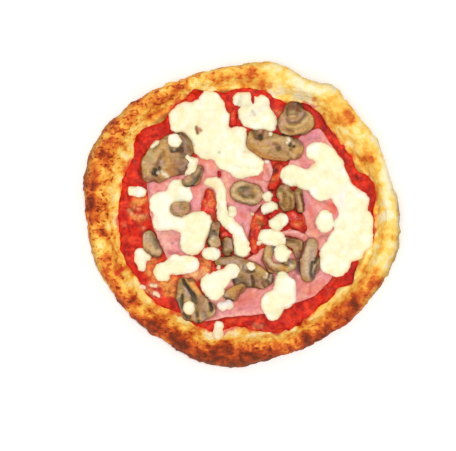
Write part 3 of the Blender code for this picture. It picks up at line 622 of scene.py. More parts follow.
def layDough():
    angle = np.arange(crust["sections"]) / crust["sections"] * math.tau
    outer = roundCurve(crust["outer"], angle) + swellings(crust["knobs"], angle)
    inner = innerEdge(angle)
    height = crust["height"] + swellings(crust["bubbles"], angle)
    for lobes, size, phase in crust["waves"]:
        height = height + size * np.sin(lobes * angle + phase)
    lean = crust["lean"] * np.maximum(0, np.cos(angle - math.radians(crust["leanAngle"])))
    crown = inner + (outer - inner) * (crust["crownShare"] - lean)
    cell = math.tau / noiseCells  # as many cells as the noise has close the circle
    crown = crown + crust["crownSway"] * smoothNoise(angle, 0.0, cell, 501)

    # the rim's cut face, from the flat foot over the crown to the sauce
    radius, level, part = [], [], []
    for turn in np.linspace(0, math.pi / 2, crust["footSteps"], endpoint=False):
        radius.append(outer - crust["foot"] * (1 - math.sin(turn)))
        level.append(np.full(len(angle), crust["widest"] * (1 - math.cos(turn))))
        part.append(-1 + turn / math.pi * 2)
    for turn in np.linspace(0, math.pi / 2, crust["outerSteps"], endpoint=False):
        radius.append(crown + (outer - crown) * math.cos(turn) ** crust["roundness"])
        level.append(crust["widest"] + (height - crust["widest"]) * math.sin(turn))
        part.append(turn / math.pi * 2)
    for share in np.linspace(0, 1, crust["innerSteps"]):
        fall = 0.5 + 0.5 * math.cos(math.pi * share)
        radius.append(crown + (inner - crown) * share)
        level.append(crust["base"] + (height - crust["base"]) * fall)
        part.append(1 + share)
    radius, level = np.stack(radius, 1), np.stack(level, 1)
    part = np.broadcast_to(part, radius.shape)
    turns = angle[:, None]
    x = crust["hubX"] + radius * np.cos(turns)
    y = crust["hubY"] - radius * np.sin(turns)

    # relief is pushed out along the surface
    points = np.stack([x, y, level], 2)
    around = np.roll(points, -1, 0) - np.roll(points, 1, 0)
    across = np.gradient(points, axis=1)
    normal = np.cross(across, around)
    normal /= np.maximum(np.linalg.norm(normal, axis=2, keepdims=True), 1e-9)
    lift = layeredNoise(x, y, crust["relief"], 500, level)
    grit = smoothNoise(x, y * 1.6, 2.6, 520, level)
    lift = lift + crust["grit"] * fade(grit, 0.25, 0.6)
    cells = turns * noiseCells / math.tau
    long = smoothNoise(cells, radius / 3.5 + level / 5, 1.0, 530)
    crease = np.exp(-((long / 0.13) ** 2)) * fade(part, -0.6, 0.1) * (1 - fade(part, 0.9, 1.5))
    lift = lift - crust["creases"] * crease
    for bx, by, size, rise in crust["blisters"]:
        near = np.maximum(0, 1 - ((x - bx) ** 2 + (y - by) ** 2) / size**2)
        lift = lift + rise * near**1.5 * fade(part, 0.0, 0.4)
    lift = lift * fade(part, -0.95, -0.4) * (1 - 0.8 * fade(part, 1.75, 2.0))
    points = points + normal * lift[:, :, None]
    points[:, :, 2] = np.maximum(points[:, :, 2], 0)

    def towards(heading):
        return np.cos(turns - math.radians(heading))

    # how it browned, and the painted shade on its outer side
    share = np.clip((radius - inner[:, None]) / (outer - inner)[:, None], 0, 1)
    inward = 1 - fade(share, 0.15, 0.5)
    outward = fade(share, 0.5, 0.78)
    bake = roundCurve(crust["bakedInner"], turns) * inward
    bake = bake + roundCurve(crust["bakedOuter"], turns) * outward
    bake = bake + roundCurve(crust["bakedCrown"], turns) * (1 - inward - outward)
    pale = fade(towards(crust["paleAngle"]), 0.86, 0.97) * fade(share, 0.35, 0.55)
    for px, py, size, change in crust["places"]:
        near = np.exp(-((x - px) ** 2 + (y - py) ** 2) / (1.15 * size) ** 2)
        bake = bake + crust["placeStrength"] * change * near
    bake = bake + 0.06 * lift + layeredNoise(x, y, ((11, 0.08), (4.5, 0.05)), 540, level)
    bake = bake + 0.22 * crease * fade(towards(crust["crackAngle"]), 0.9, 0.98)
    streaks = smoothNoise(cells * 6, radius / 9, 1.0, 535) + smoothNoise(cells * 3, radius / 12, 1.0, 536)
    bake = bake + 0.06 * streaks * (0.4 + 0.6 * fade(towards(crust["streakAngle"]), -0.2, 0.4))
    darkest = crust["darkest"]
    bake = np.minimum(bake, darkest + 0.35 * (bake - darkest))  # the darkest parts level off
    speckled = roundCurve(crust["speckled"], turns) * (0.25 + 0.75 * fade(share, 0.05, 0.3))
    speckled = speckled * (1 - 0.7 * fade(-part, -0.2, 0.1)) * (1 - 0.8 * pale)
    edgeNoise = layeredNoise(x, y, ((11, 0.9), (5, 0.6), (2, 0.4)), 560)
    crept = swellings(crust["creep"], turns) / (outer - inner)[:, None]
    stain = fade(edgeNoise + (0.1 + crept - share) * 7, 0.0, 1.0) * 0.85
    for px, py, size, strength in crust["smears"]:
        near = np.exp(-((x - px) ** 2 + (y - py) ** 2) / size**2)
        stain = np.maximum(stain, strength * fade(near + 0.15 * edgeNoise, 0.2, 0.6))
    # painted shade on the outer side, broken up by noise
    shadeBreakup = 0.75 + 0.5 * layeredNoise(x, y, ((9, 0.5), (3, 0.5)), 565, level)
    flankShade = roundCurve(crust["paintedShade"], turns) * fade(-part, -0.85, -0.2)
    flankShade = np.maximum(flankShade, 0.62 * fade(-part, -0.1, 0.1)) * shadeBreakup

    # the ground under the toppings: the rim's upper side, then the flat base
    upper = points[:, crust["footSteps"]:].copy()
    finer = np.linspace(0, 1, 3, endpoint=False)
    following = np.roll(upper, -1, 0)
    for u in finer:
        row = upper * (1 - u) + following * u
        for v in finer:
            spot = row[:, :-1] * (1 - v) + row[:, 1:] * v
            np.maximum.at(ground, nearestCells(spot[..., 0], spot[..., 1]), spot[..., 2])
    away = np.hypot(gridX - crust["hubX"], gridY - crust["hubY"])
    heading = np.arctan2(crust["hubY"] - gridY, gridX - crust["hubX"])
    ground[(away < innerEdge(heading) + 1) & (ground < crust["base"])] = crust["base"]

    # flat discs close it: the base under the sauce, and the underside with its shallow dimples
    sections, steps = radius.shape
    rings = [points.reshape(-1, 3)]
    faces = []
    here = np.arange(sections)
    there = (here + 1) % sections
    for s in range(steps - 1):
        a, b = here * steps + s, there * steps + s
        faces += np.stack([a, b, b + 1, a + 1], 1).tolist()
    extra = {"bake": [bake.ravel()], "speckled": [speckled.ravel()], "stain": [stain.ravel()],
             "flankShade": [flankShade.ravel()]}
    count = sections * steps
    discs = ((steps - 1, crust["baseRings"], True), (0, crust["footRings"], False))
    for edgeRow, shrinks, facingUp in discs:
        rim = points[:, edgeRow]
        before = here * steps + edgeRow
        hub = np.array([crust["hubX"], crust["hubY"], rim[:, 2].mean()])
        for shrink in shrinks:
            ring = hub + (rim - hub) * shrink
            if facingUp:
                ring[:, 2] = crust["base"]
            else:
                ring[:, 2] = crust["dimples"] * fade(smoothNoise(ring[:, 0], ring[:, 1], 9, 570), 0.1, 0.8)
            rings.append(ring)
            now = count + here
            pair = (before, before[there], now[there], now)
            faces += np.stack(pair if facingUp else pair[::-1], 1).tolist()
            browned = 0.42 + 0.3 * smoothNoise(ring[:, 0], ring[:, 1], 14, 580)
            extra["bake"].append(browned)
            extra["speckled"].append(np.full(sections, 0.8))
            extra["stain"].append(np.zeros(sections))
            # an even painted shade on the discs
            extra["flankShade"].append(np.full(sections, 0.6))
            before = now
            count += sections
        rings.append(np.array([[hub[0], hub[1], crust["base"] if facingUp else 0.0]]))
        for key, value in (("bake", 0.4), ("speckled", 0.8), ("stain", 0.0), ("flankShade", 0.6)):
            extra[key].append(np.array([value]))
        tip = np.full(sections, count)
        fan = (before, before[there], tip)
        faces += np.stack(fan if facingUp else fan[::-1], 1).tolist()
        count += 1
    masks = {key: np.concatenate(values) for key, values in extra.items()}
    makePiece("dough_baked", np.concatenate(rings), faces, makeCrustMaterial(), "dough", masks)
    print("dough shaped")


layDough()


tomatoSauce = {
    "slot": "tomato_sauce", "ending": "_layer", "cover": 1.0, "contactShade": "#943A2E",
    "base": "#E02C12", "deep": "#AC140A", "bright": "#F4452A", "oil": "#EE8E48", "peach": "#F8BC80",
    "ochre": "#CF8F3E", "brown": "#8A4416", "pale": "#F9D7AE", "crimson": "#BE1A1C", "dark": "#5C0A04",
    "orange": "#E8501E", "amber": "#F6AA54",
    "thickness": 1.3, "rim": 0.15, "roundOver": 2.2, "dome": 0.0, "melt": 1.0, "melted": True,
    "spacing": 1.2, "sink": 0.25, "thinnest": 0.2, "bridge": (1,), "grainShare": 1.0, "sway": 1.0,
    "wobble": ((12, 2.2), (5, 1.4), (2.6, 0.6)),
    "relief": ((9, 0.6), (4, 0.5), (2.2, 0.3)),
    "mottle": (("deep", 0.75, 9, 0.0, 0.5), ("bright", 0.9, 6, 0.05, 0.4), ("deep", 0.7, 4, 0.15, 0.5),
               ("orange", 0.7, 7, 0.15, 0.6), ("bright", 0.6, 3, 0.3, 0.7), ("dark", 0.5, 5, 0.4, 0.8)),
    "edge": ("deep", 0.45, 1.3),
}


def sauceField(x, y):
    # below zero on the base and as far up the rim's inner slope as the sauce crept
    angle = np.arctan2(crust["hubY"] - y, x - crust["hubX"])
    reach = innerEdge(angle) + swellings(crust["creep"], angle)
    return np.hypot(x - crust["hubX"], y - crust["hubY"]) - reach


sauceLayer = {
    "node": "tomato_sauce", "fieldAt": sauceField,
    # films of oil and melted cheese that float on it, places where it is thin or baked dark, and painted
    # contact shadow in dark and deep lines along the toppings' edges
    "marks": (
        "amber 0.95 0.8 0.3: 133 204 2.4, 138 201.5 3, 145 200.5 2.2",
        "oil 0.8 0.6: 134 198.5 1, 144 197.5 1", "brown 0.85 0.6: 131.5 211 2",
        "peach 0.8 0.6: 129 211 1, 131 214 1.1, 136 216.5 1.3, 146 216 1.2",
        "amber 0.8 0.7 0.2: 132 217 1.3, 139 219.5 1.8, 144 218 1.2",
        "peach 0.5 0.7: 135 208 1.6, 139 209 1.2", "orange 0.9 0.8: 145 205 2.2, 144 210 2.6, 146 213 1.6",
        # painted contact shadow: the deep line along ham_left's left edge, and the dark lines along
        # mushroom_01's left side
        "deep 0.9 0.6: 150 206 0.9, 151 214 1, 151.8 221 0.8", "peach 0.5 0.7: 143 228 1.6",
        "peach 0.35 0.7: 124 224.5 1.6", "dark 0.6 0.9: 140 166 1, 139 175 1", "dark 0.7 0.8: 142 184 1.6",
        "dark 0.6 0.9: 147 152 1, 143 158 1", "deep 0.6 1.2: 160 132 2.5, 165 129 2",
        "bright 0.7 1: 153 130 2, 147 134 2.4", "bright 0.7 1: 135 172 1.5, 134 178 2",
        "oil 1 1 0.2: 154 260 3.5, 150 264 4, 149 271 4, 154 279 4", "brown 0.7 0.6: 150.5 263 1.2",
        "brown 0.6 0.6: 154 264.5 0.8", "orange 0.7 0.6: 149.5 268 1", "brown 0.5 0.6: 153 274 0.8",
        "amber 0.7 0.8: 147 272 1.6", "deep 0.6 0.9: 157 260 1.2, 161 256 1.6",
        "deep 0.5 1: 139 275 2.5, 142 281 2.5", "bright 0.6 0.8: 145 276 1.8",
        "oil 1 1.1 0.3: 164 285 5, 173 282 5.5, 168 292 5, 174 292 4", "amber 0.45 1.2: 168 286 5",
        "amber 0.9 0.6 0.3: 162 285 1.8, 167 290 1.6, 170 283 1.6, 164 281 1.4",
        "amber 0.9 0.6 0.3: 171 288 1.5, 173 295 1.4, 168 295.5 1.2", "brown 0.8 0.5: 164.2 292 1.1",
        "brown 0.7 0.5: 169 292.5 0.8", "brown 0.7 0.5: 174 286 0.8", "brown 0.6 0.5: 175 292 0.9",
        "ochre 0.8 0.5: 166 286.5 1", "ochre 0.6 0.5: 168 283.5 0.8",
        "bright 0.95 0.8 0.4: 161 301 4.6, 166 303 5", "deep 0.9 0.8: 172 301 3, 173 307 2",
        "deep 0.6 0.6: 162 304.5 1.1", "dark 0.5 0.7: 160 308.5 0.8, 174 309.5 0.8",
        "crimson 0.9 0.7 0.3: 155 289 1.5, 159 290 1.8", "crimson 0.9 0.7 0.3: 147 295 1.8, 151 297.5 2",
        "pale 0.9 0.7 0.3: 150 285.5 1, 156 285.5 1.2", "pale 0.85 0.7 0.3: 155 294 1.8, 158 296 1",
        "pale 0.8 0.7 0.3: 140 288 1.6, 143 288 1", "dark 0.5 0.6: 145 289 0.9",
        "peach 0.8 0.9: 146 290 1.4, 151 292 1.2", "oil 0.7 0.9: 150 302 2, 144 299 1.6",
        "peach 1 0.9 0.2: 188 276 3.6, 196 275 4.5, 204 272 3.5",
        "oil 1 0.8 0.2: 203 260 2.6, 207 266 4.5, 211 268 3", "peach 0.5 0.9: 207 267 3",
        "amber 0.8 0.5: 206 263 0.9, 207 270 1.1", "brown 0.6 0.5: 201.5 257 0.8, 202 262 0.8",
        "deep 0.4 0.9: 209 262 1.2", "oil 0.6 1.4: 208 222 3, 214 222 3",
        "dark 0.9 0.8: 303 102.5 1, 308 104 1.2, 312 107 1", "crimson 0.7 1: 306 107 1.4, 309 109 1.2",
        "dark 0.85 1.2 -0.3: 321 112 1.8, 324 120 1.8, 325.5 128 1.5",
        "crimson 0.8 1: 315 110 2, 318 117 2", "dark 0.7 0.8: 331 131 1, 337 136 1, 343.5 141 1.1",
        "deep 0.8 0.7: 333 143.5 0.8, 338 148 0.8", "bright 0.7 1: 333 138 1.8, 340 144 2",
        "dark 0.8 0.6: 346 160 0.9", "deep 0.9 0.7: 341 152 0.8, 346 160 1, 350 168 0.8",
        "dark 0.9 0.7: 356 175.5 1, 358.5 178 1.4", "bright 0.8 0.9: 350 158 1.6, 353 168 1.8, 356 172 1.4",
        "deep 0.6 0.7: 353 157 0.8, 355 164 0.7", "deep 0.7 0.8: 362 176 0.8, 360 184 0.9",
        "deep 0.8 1.2: 371 186 1.8, 372 198 1.8, 373 212 1.2", "bright 0.5 0.9: 365 183 1.8",
        "crimson 0.6 1.4: 353 262 2, 352 274 2", "dark 0.8 0.7: 354.5 272 0.9, 354 280 1.1, 351 285 1",
        "deep 0.7 0.8: 332 278 0.9, 345 279 1, 349 284 1", "crimson 0.5 1.2: 326 292 2, 330 286 2",
        "deep 0.8 0.7: 221 320.5 0.8, 235 317 0.8, 262 315 0.8", "orange 0.7 0.8: 226 323 1, 240 320 1.2",
        "deep 0.6 0.7: 226 326 0.8, 236 323.5 0.7", "crimson 0.5 1.2: 284 322 2.4, 292 314 2.4",
        "deep 0.6 0.8: 283 313 1, 292 308 0.9, 302 303 0.9", "bright 0.6 0.9: 273 324 2, 294 318 1.6",
        "peach 0.5 1: 255 327 1.6, 262 326 1.2", "deep 0.5 1: 208 322 1, 219 318 1",
        "bright 0.7 1: 206 329 2.4, 212 324 1.5", "deep 0.8 0.8: 269 106 1.5, 272 99 1",
        "bright 0.7 0.9: 278 105 2, 280 102 1.4", "deep 0.6 0.8: 284 104 1, 282 110 1",
        "peach 0.5 0.9: 275 111 1, 281 113 1.4", "deep 0.5 1: 252 92 1.2, 253 103 1",
        "crimson 0.6 0.9: 232 100 1.5, 236 96 1.2",
    ),
}


def makeWetMaterial(name, look):
    # a moist food: the painted tint, broken up by two sizes of mottling, under a thin wet sheen
    material, tree, shader, place = startMaterial(name)
    tint = addNode(tree, "ShaderNodeAttribute", attribute_name="tint").outputs["Color"]
    mottling = {"Scale": perMetre(look["coarse"]), "Detail": 4.0, "Roughness": 0.6}
    coarse = addNode(tree, "ShaderNodeTexNoise", mottling, {"Vector": place}).outputs["Fac"]
    flecks = {"Scale": perMetre(look["fine"]), "Detail": 3.0}
    fine = addNode(tree, "ShaderNodeTexNoise", flecks, {"Vector": place}).outputs["Fac"]
    shade = addNode(tree, "ShaderNodeValToRGB", links={"Fac": coarse},
                    stops=[(0.36, look["shade"]), (0.62, "#FFFFFF")])
    toned = addNode(tree, "ShaderNodeMix", {0: look["depth"]}, {6: tint, 7: shade.outputs["Color"]},
                    data_type="RGBA", blend_type="MULTIPLY")
    gain = look["fleckGain"]
    flecked = addNode(tree, "ShaderNodeMapRange", {1: 0.34, 2: 0.66, 3: 2 - gain, 4: gain}, {0: fine})
    final = addNode(tree, "ShaderNodeHueSaturation",
                    links={"Value": flecked.outputs[0], "Color": toned.outputs[2]})
    tree.links.new(final.outputs["Color"], shader.inputs["Base Color"])
    rough = addNode(tree, "ShaderNodeMapRange", {1: 0.3, 2: 0.7, 3: look["wet"], 4: look["dry"]},
                    {0: coarse})
    tree.links.new(rough.outputs[0], shader.inputs["Roughness"])
    bump = addNode(tree, "ShaderNodeBump", {"Strength": look["bump"], "Distance": 0.3 * mm},
                   {"Height": fine})
    tree.links.new(bump.outputs["Normal"], shader.inputs["Normal"])
    setInputs(shader, {
        "Subsurface Weight": look["glowShare"], "Subsurface Radius": look["glow"],
        "Subsurface Scale": look["glowReach"] * mm, "IOR": look["ior"], "Specular IOR Level": look["gloss"],
    })
    return material


# Cooked tomato pulp spread by ladle: moist, with soft lumps and darker seed-size specks.
sauceMaterial = makeWetMaterial("spread tomato pulp", {
    "coarse": 4.2, "fine": 1.2, "shade": "#C4867C", "depth": 0.9, "fleckGain": 1.1,
    "wet": 0.3, "dry": 0.6, "bump": 0.4, "glowShare": 0.06, "glow": (1.0, 0.2, 0.08), "glowReach": 1.0,
    "ior": 1.36, "gloss": 0.16,
})
layAll([sauceLayer], tomatoSauce, sauceMaterial)


ham = {
    "slot": "ham", "ending": "_slice", "cover": 0.7, "contactShade": "#B4655A",
    "base": "#EA9D95", "rose": "#D9766C", "pale": "#F5BEB2", "salmon": "#EC8A66", "lilac": "#DC8C9C",
    "brown": "#9C5A52", "red": "#DC4E36", "mauve": "#A0545A", "dark": "#5E1E18", "peach": "#F2B894",
    "pink": "#EE96A2", "grey": "#B08E84",
    "thickness": 1.25, "rim": 0.6, "roundOver": 1.0, "dome": 0.0, "melt": 1.0, "rounding": 4.0,
    "melted": False, "spacing": 1.05, "sink": 0.1, "thinnest": 0.5, "bridge": (4, 3, 2, 2, 1, 1),
    "grainShare": 0.4, "sway": 0.7,
    "wobble": ((9, 1.0), (3.5, 0.5)),
    "relief": ((12, 0.55), (5, 0.25), (2.2, 0.1)),
    "mottle": (("rose", 0.7, 5, 0.0, 0.6), ("pale", 0.7, 4, 0.05, 0.6), ("pink", 0.4, 9, 0.0, 0.6),
               ("peach", 0.4, 7, 0.2, 0.7), ("rose", 0.5, 2.0, 0.2, 0.7)),
    "edge": ("pale", 0.55, 0.8),
}
# Cured pork cut thin and warmed through: pink with rosy grain, paler at its edge, with a moist sheen.
hamMaterial = makeWetMaterial("sliced cooked ham", {
    "coarse": 3.5, "fine": 1.0, "shade": "#E8C4BE", "depth": 0.8, "fleckGain": 1.07,
    "wet": 0.34, "dry": 0.55, "bump": 0.25, "glowShare": 0.14, "glow": (1.0, 0.4, 0.3), "glowReach": 1.4,
    "ior": 1.4, "gloss": 0.4,
})
hamSlices = (
    {"node": "ham_left", "grain": 20,
     "corners": ["150 183, 174 173, 190 174, 196 165, 201 157, 207 158, 217 167, 217 192, 209 216, 200 242",
                 "186 253, 170 256, 161 238, 154 214"], "marks": (
        "pink 0.5 1.2: 150 186 3, 156 184 3", "mauve 0.6 0.8 -0.3: 147.5 184 1, 149 194 1.2",
        "pale 0.7 1: 152 183 1.2, 160 181 1.6", "salmon 0.5 1.5: 157 187 1.6, 163 183 1.6",
        "red 0.6 1.6: 194 186 3, 199 183 2.6", "salmon 0.7 1.2: 196 192 3, 198 197 2",
        "pink 0.8 1.2: 196 203 3, 194 208 2", "lilac 0.6 0.8: 190 206 1.4, 193 197 1",
        "pale 0.6 0.7: 199 190 0.9, 200 201 0.9", "brown 0.5 0.6: 194 210.5 0.7, 200 213 0.7",
        "red 0.7 1: 199 157 2, 204 161 2", "salmon 0.8 1.2: 204 160 2.4, 211 166 2.4",
        "pale 0.8 0.7: 206 165 1.4, 208 171 1.2", "rose 0.8 0.8: 203 167 1.2, 205 172 1",
        "peach 0.7 1: 207 181 2, 204 176 2", "rose 0.6 1: 201 180 2, 210 176 1.5",
        "dark 0.8 0.6: 201 154.5 1.1, 203 155.5 0.9", "peach 0.7 1: 163 233 2, 170 233.5 1.6",
        "grey 0.6 0.7: 160 233 0.9, 168 231.5 0.7, 178 234.5 0.8", "brown 0.8 0.5 -0.3: 172.3 243.5 1.2",
        "pink 0.7 1.2: 175 247 3, 177 251 2", "pale 0.5 1: 164 240 2, 167 247 2",
        "rose 0.5 1.2: 170 238 2.4, 174 238 2", "mauve 0.6 0.7: 168 253 0.8, 183 252 0.8, 188 256 0.9",
        "grey 0.6 0.8: 179 240 0.8, 179.5 247 0.8",
    )},
    {"node": "ham_centre", "grain": 75,
     "corners": ["223 172, 262 172, 271 176, 266 200, 258 222, 248 244, 246 253, 240 252, 232 230",
                 "230 204"], "marks": (
        "rose 0.8 0.9: 230 181 1.6, 234 180 1.6", "rose 0.5 0.9: 229 187 1, 230 200 1",
        "peach 0.8 0.9: 226 180 1.6, 227 200 1.4", "red 0.8 1.3: 252 177.5 2, 262 177 2.6",
        "red 0.6 1: 266 166 2, 266 174 2", "rose 0.7 1: 257 182 1.4, 263 188 1.2",
        "pale 0.6 0.8: 255 181 0.9, 264 184 1", "pale 0.5 0.8: 264 189 1, 263 198 1",
        "lilac 0.8 1.4: 238 206 2, 252 208 2.4, 245 211 3", "rose 0.9 1.2: 241 213 2, 244 217 2.2",
        "red 0.5 1: 242 215.5 1.6", "pink 0.8 1: 236 219 1.6, 240 222 1.4",
        "brown 0.6 0.6: 249 210 0.8, 254 212 0.8", "peach 0.7 0.8: 252 215 1.4, 252 220 1",
        "brown 0.8 0.5 -0.2: 227.6 204 0.9, 227.6 210 0.9", "dark 0.8 0.5 -0.2: 231 216 0.9, 233 221 0.8",
        "brown 0.8 0.6: 242.5 224 0.9, 244 236 1", "lilac 0.5 1.2: 247 222 1.5, 246 232 1.5",
        "rose 0.7 0.9: 248 232 1, 247 244 1", "pale 0.5 0.7: 234 226 0.9, 240 224 0.9",
    )},
    {"node": "ham_right", "grain": 60,
     "corners": ["300 142, 306 136, 318 132, 333 153, 348 184, 363 206, 356 232, 332 250, 309 242, 307 214",
                 "303 190, 293 164"], "marks": (
        # the lilac and mauve marks are painted shade on the corner that lies under the mushrooms
        "lilac 0.9 1.6: 306 138 4, 315 134 4", "mauve 0.15 2: 306 138 5, 316 136 5",
        "pink 0.8 0.8: 316 131 1.6, 320 134 1.4", "rose 0.7 0.9: 305 133 1, 305 143 1.4",
        "pink 0.7 0.7: 309 134 1, 314 134.5 1.2", "mauve 0.45 0.8: 309 139 0.9, 319 138 0.9",
        "rose 0.7 1: 301 158 1.6, 307 165 1.6, 312 167 1.4", "lilac 0.6 0.8: 305 166 1, 311 169 0.9",
        "mauve 0.8 1.1: 308 190 2, 312 194 1.8", "lilac 0.9 1.2: 306 199 2.6, 308 206 2.2",
        "rose 0.8 0.9: 312 196 1.4, 313 199 1", "salmon 0.5 1.3: 315 203 2, 320 203 2",
        "red 0.7 1.1: 310 208 2, 312 215 2.2", "salmon 0.8 1.3: 309 220 2, 311 231 2.2",
        "brown 0.5 0.8: 315 215 0.9, 314.5 228 0.9", "salmon 0.7 1: 314 234 2.4, 320 237 2",
        "red 0.9 1.2: 329 205 1.8, 334 207 3.8, 334 212 2", "red 0.6 0.9: 334.5 207 2.4, 331 205.5 1.8",
        "brown 0.6 0.8: 319 199 0.8, 326 203 1.2", "salmon 0.7 1: 326 207 1.8, 331 211 1.6",
        "lilac 0.4 0.7: 334 216 0.8, 333 222 0.8", "peach 0.8 0.8: 312 234 1.4, 318 236 1.4",
        "brown 0.7 0.7 -0.3: 320 237.5 0.9, 327 235.5 1.3", "rose 0.8 0.7: 318.5 240 0.9, 317.5 249 1",
        "pale 0.8 0.8: 314 241 1.1, 315 248 1.2", "grey 0.7 0.8: 311 239 1.4, 309 245 1.4",
        "rose 0.5 0.7: 313 238 0.7, 312.5 246 0.7", "pale 0.5 0.7 0.3: 306 216 0.9, 309 236 1",
    )},
    {"node": "ham_front", "grain": -35,
     "corners": ["207 304, 205 317, 230 313, 265 310, 298 298, 313 293, 329 276, 322 266, 298 255, 264 252",
                 "248 263, 228 284"], "marks": (
        "mauve 0.8 1.2: 216 304 1.8, 216 315 2", "lilac 0.8 1.2: 222 312 1.6, 230 312 1.6",
        "pale 0.8 0.7 0.3: 216 319 0.9, 235 315 1, 262 312 0.9", "lilac 0.5 1: 245 309 1.8, 256 307 1.6",
        "rose 0.8 1.6: 240 301 3, 252 297 4", "salmon 0.7 1.2: 251 293 2.2, 255 297 2",
        "rose 0.6 1: 232 304 1.4, 244 303 1.4", "pink 0.7 1: 256 302 2, 258 308 1.8",
        "red 0.4 1: 246 296 1.6, 241 302 1.4", "mauve 0.8 0.5 -0.2: 239.7 309.5 1.1",
        "pink 0.9 0.9: 259 257 2, 265 264 2", "peach 0.8 0.7: 252 259.5 1, 261 251 1.2",
        # the first mauve mark is painted shade on the ham between mushroom_12 and mushroom_09
        "mauve 0.6 0.8: 268 266 1.2, 272 274 1.6", "rose 0.8 0.8: 264 261 0.9, 270 271 1",
        # the dark mark is painted shadow between mushroom_12 and mushroom_13
        "dark 0.9 0.8 -0.4: 298 262 1.8, 297 270 2, 299 274 1.4", "mauve 0.8 0.9: 294 276 2, 297 281 1.6",
        # the small pale dot is a painted highlight
        "pale 0.95 0.5 0.3: 298.7 276.8 1.3", "red 0.5 1: 302 278 1.4, 305 286 1.4",
        "rose 0.7 0.9: 299 284 1.6, 299 292 1.4", "grey 0.5 0.8: 298 289 1, 300 294 1",
        "salmon 0.9 1.1 0.3: 306 290 2, 314 291 2.4, 322 284 2", "peach 0.8 0.8: 303 296 1.4, 309 286 1.2",
        "rose 0.9 0.5 -0.3: 311 287 0.7, 310 295 0.7",
        "rose 0.8 0.5 -0.3: 310 287 0.7, 318 281 0.7, 325 275 0.7",
        "pale 0.9 0.7 0.3: 314 282 0.9, 322 276 1", "lilac 0.7 0.8: 322 273 1.4, 327 276 1.4",
        "pink 0.6 0.9: 325 279 1.4, 320 283 1", "rose 0.3 3: 258 300 9, 236 306 7, 298 290 8, 312 284 7",
    )},
    {"name": "ham_curl", "grain": 10,
     "strokes": ["283 234 2.4, 290 232.5 3.8, 299 234.5 4.4, 306 240.5 3.8"], "marks": (
        # a painted highlight along the curl's top, and painted shade in the line below it
        "pale 0.9 0.6 0.6: 286 233 0.8, 295 232 1, 303 235 0.9",
        "rose 0.9 0.6 -0.3: 284 235 0.8, 293 235 0.9, 301 239 0.9", "mauve 0.7 0.6: 300 242 1, 305 243 1",
        "salmon 0.6 0.8: 303 232 1.2, 308 238 1.2",
    )},
    {"name": "ham_scrap", "grain": 80, "strokes": ["266.5 163 4, 267.5 170 5, 267 176 4.4"], "marks": (
        "salmon 0.9 0.9: 266 166 2, 265 172 1.6", "pale 0.7 0.6: 270 164 1, 270 172 1",
        "brown 0.5 0.7: 268 169 0.8, 269 175 0.9",
    )},
)
layAll(hamSlices, ham, hamMaterial)


tomatoFlesh = {
    "slot": "tomato", "ending": "_piece", "cover": 0.9, "contactShade": "#7A3020",
    "base": "#DE2C16", "bright": "#F4462E", "deep": "#AC1806", "orange": "#EC6A2C", "amber": "#F0963F",
    "crimson": "#B01A1E", "dark": "#540E05", "olive": "#A0682A", "pink": "#FC6650", "brown": "#96481F",
    "straw": "#E8B274",
    "thickness": 2.4, "rim": 0.8, "roundOver": 2.2, "dome": 0.6, "melt": 0.9, "melted": False,
    "spacing": 0.6, "sink": 0.15, "thinnest": 0.5, "bridge": (4, 2, 2, 1), "grainShare": 0.6, "sway": 0.4,
    "wobble": ((4, 0.5), (1.8, 0.3)),
    "relief": ((4, 0.5), (1.8, 0.25)),
    "mottle": (("deep", 0.5, 3.5, 0.1, 0.6), ("bright", 0.5, 2.6, 0.1, 0.6),
               ("orange", 0.4, 2.2, 0.3, 0.7)),
    "edge": ("deep", 0.6, 0.7),
}
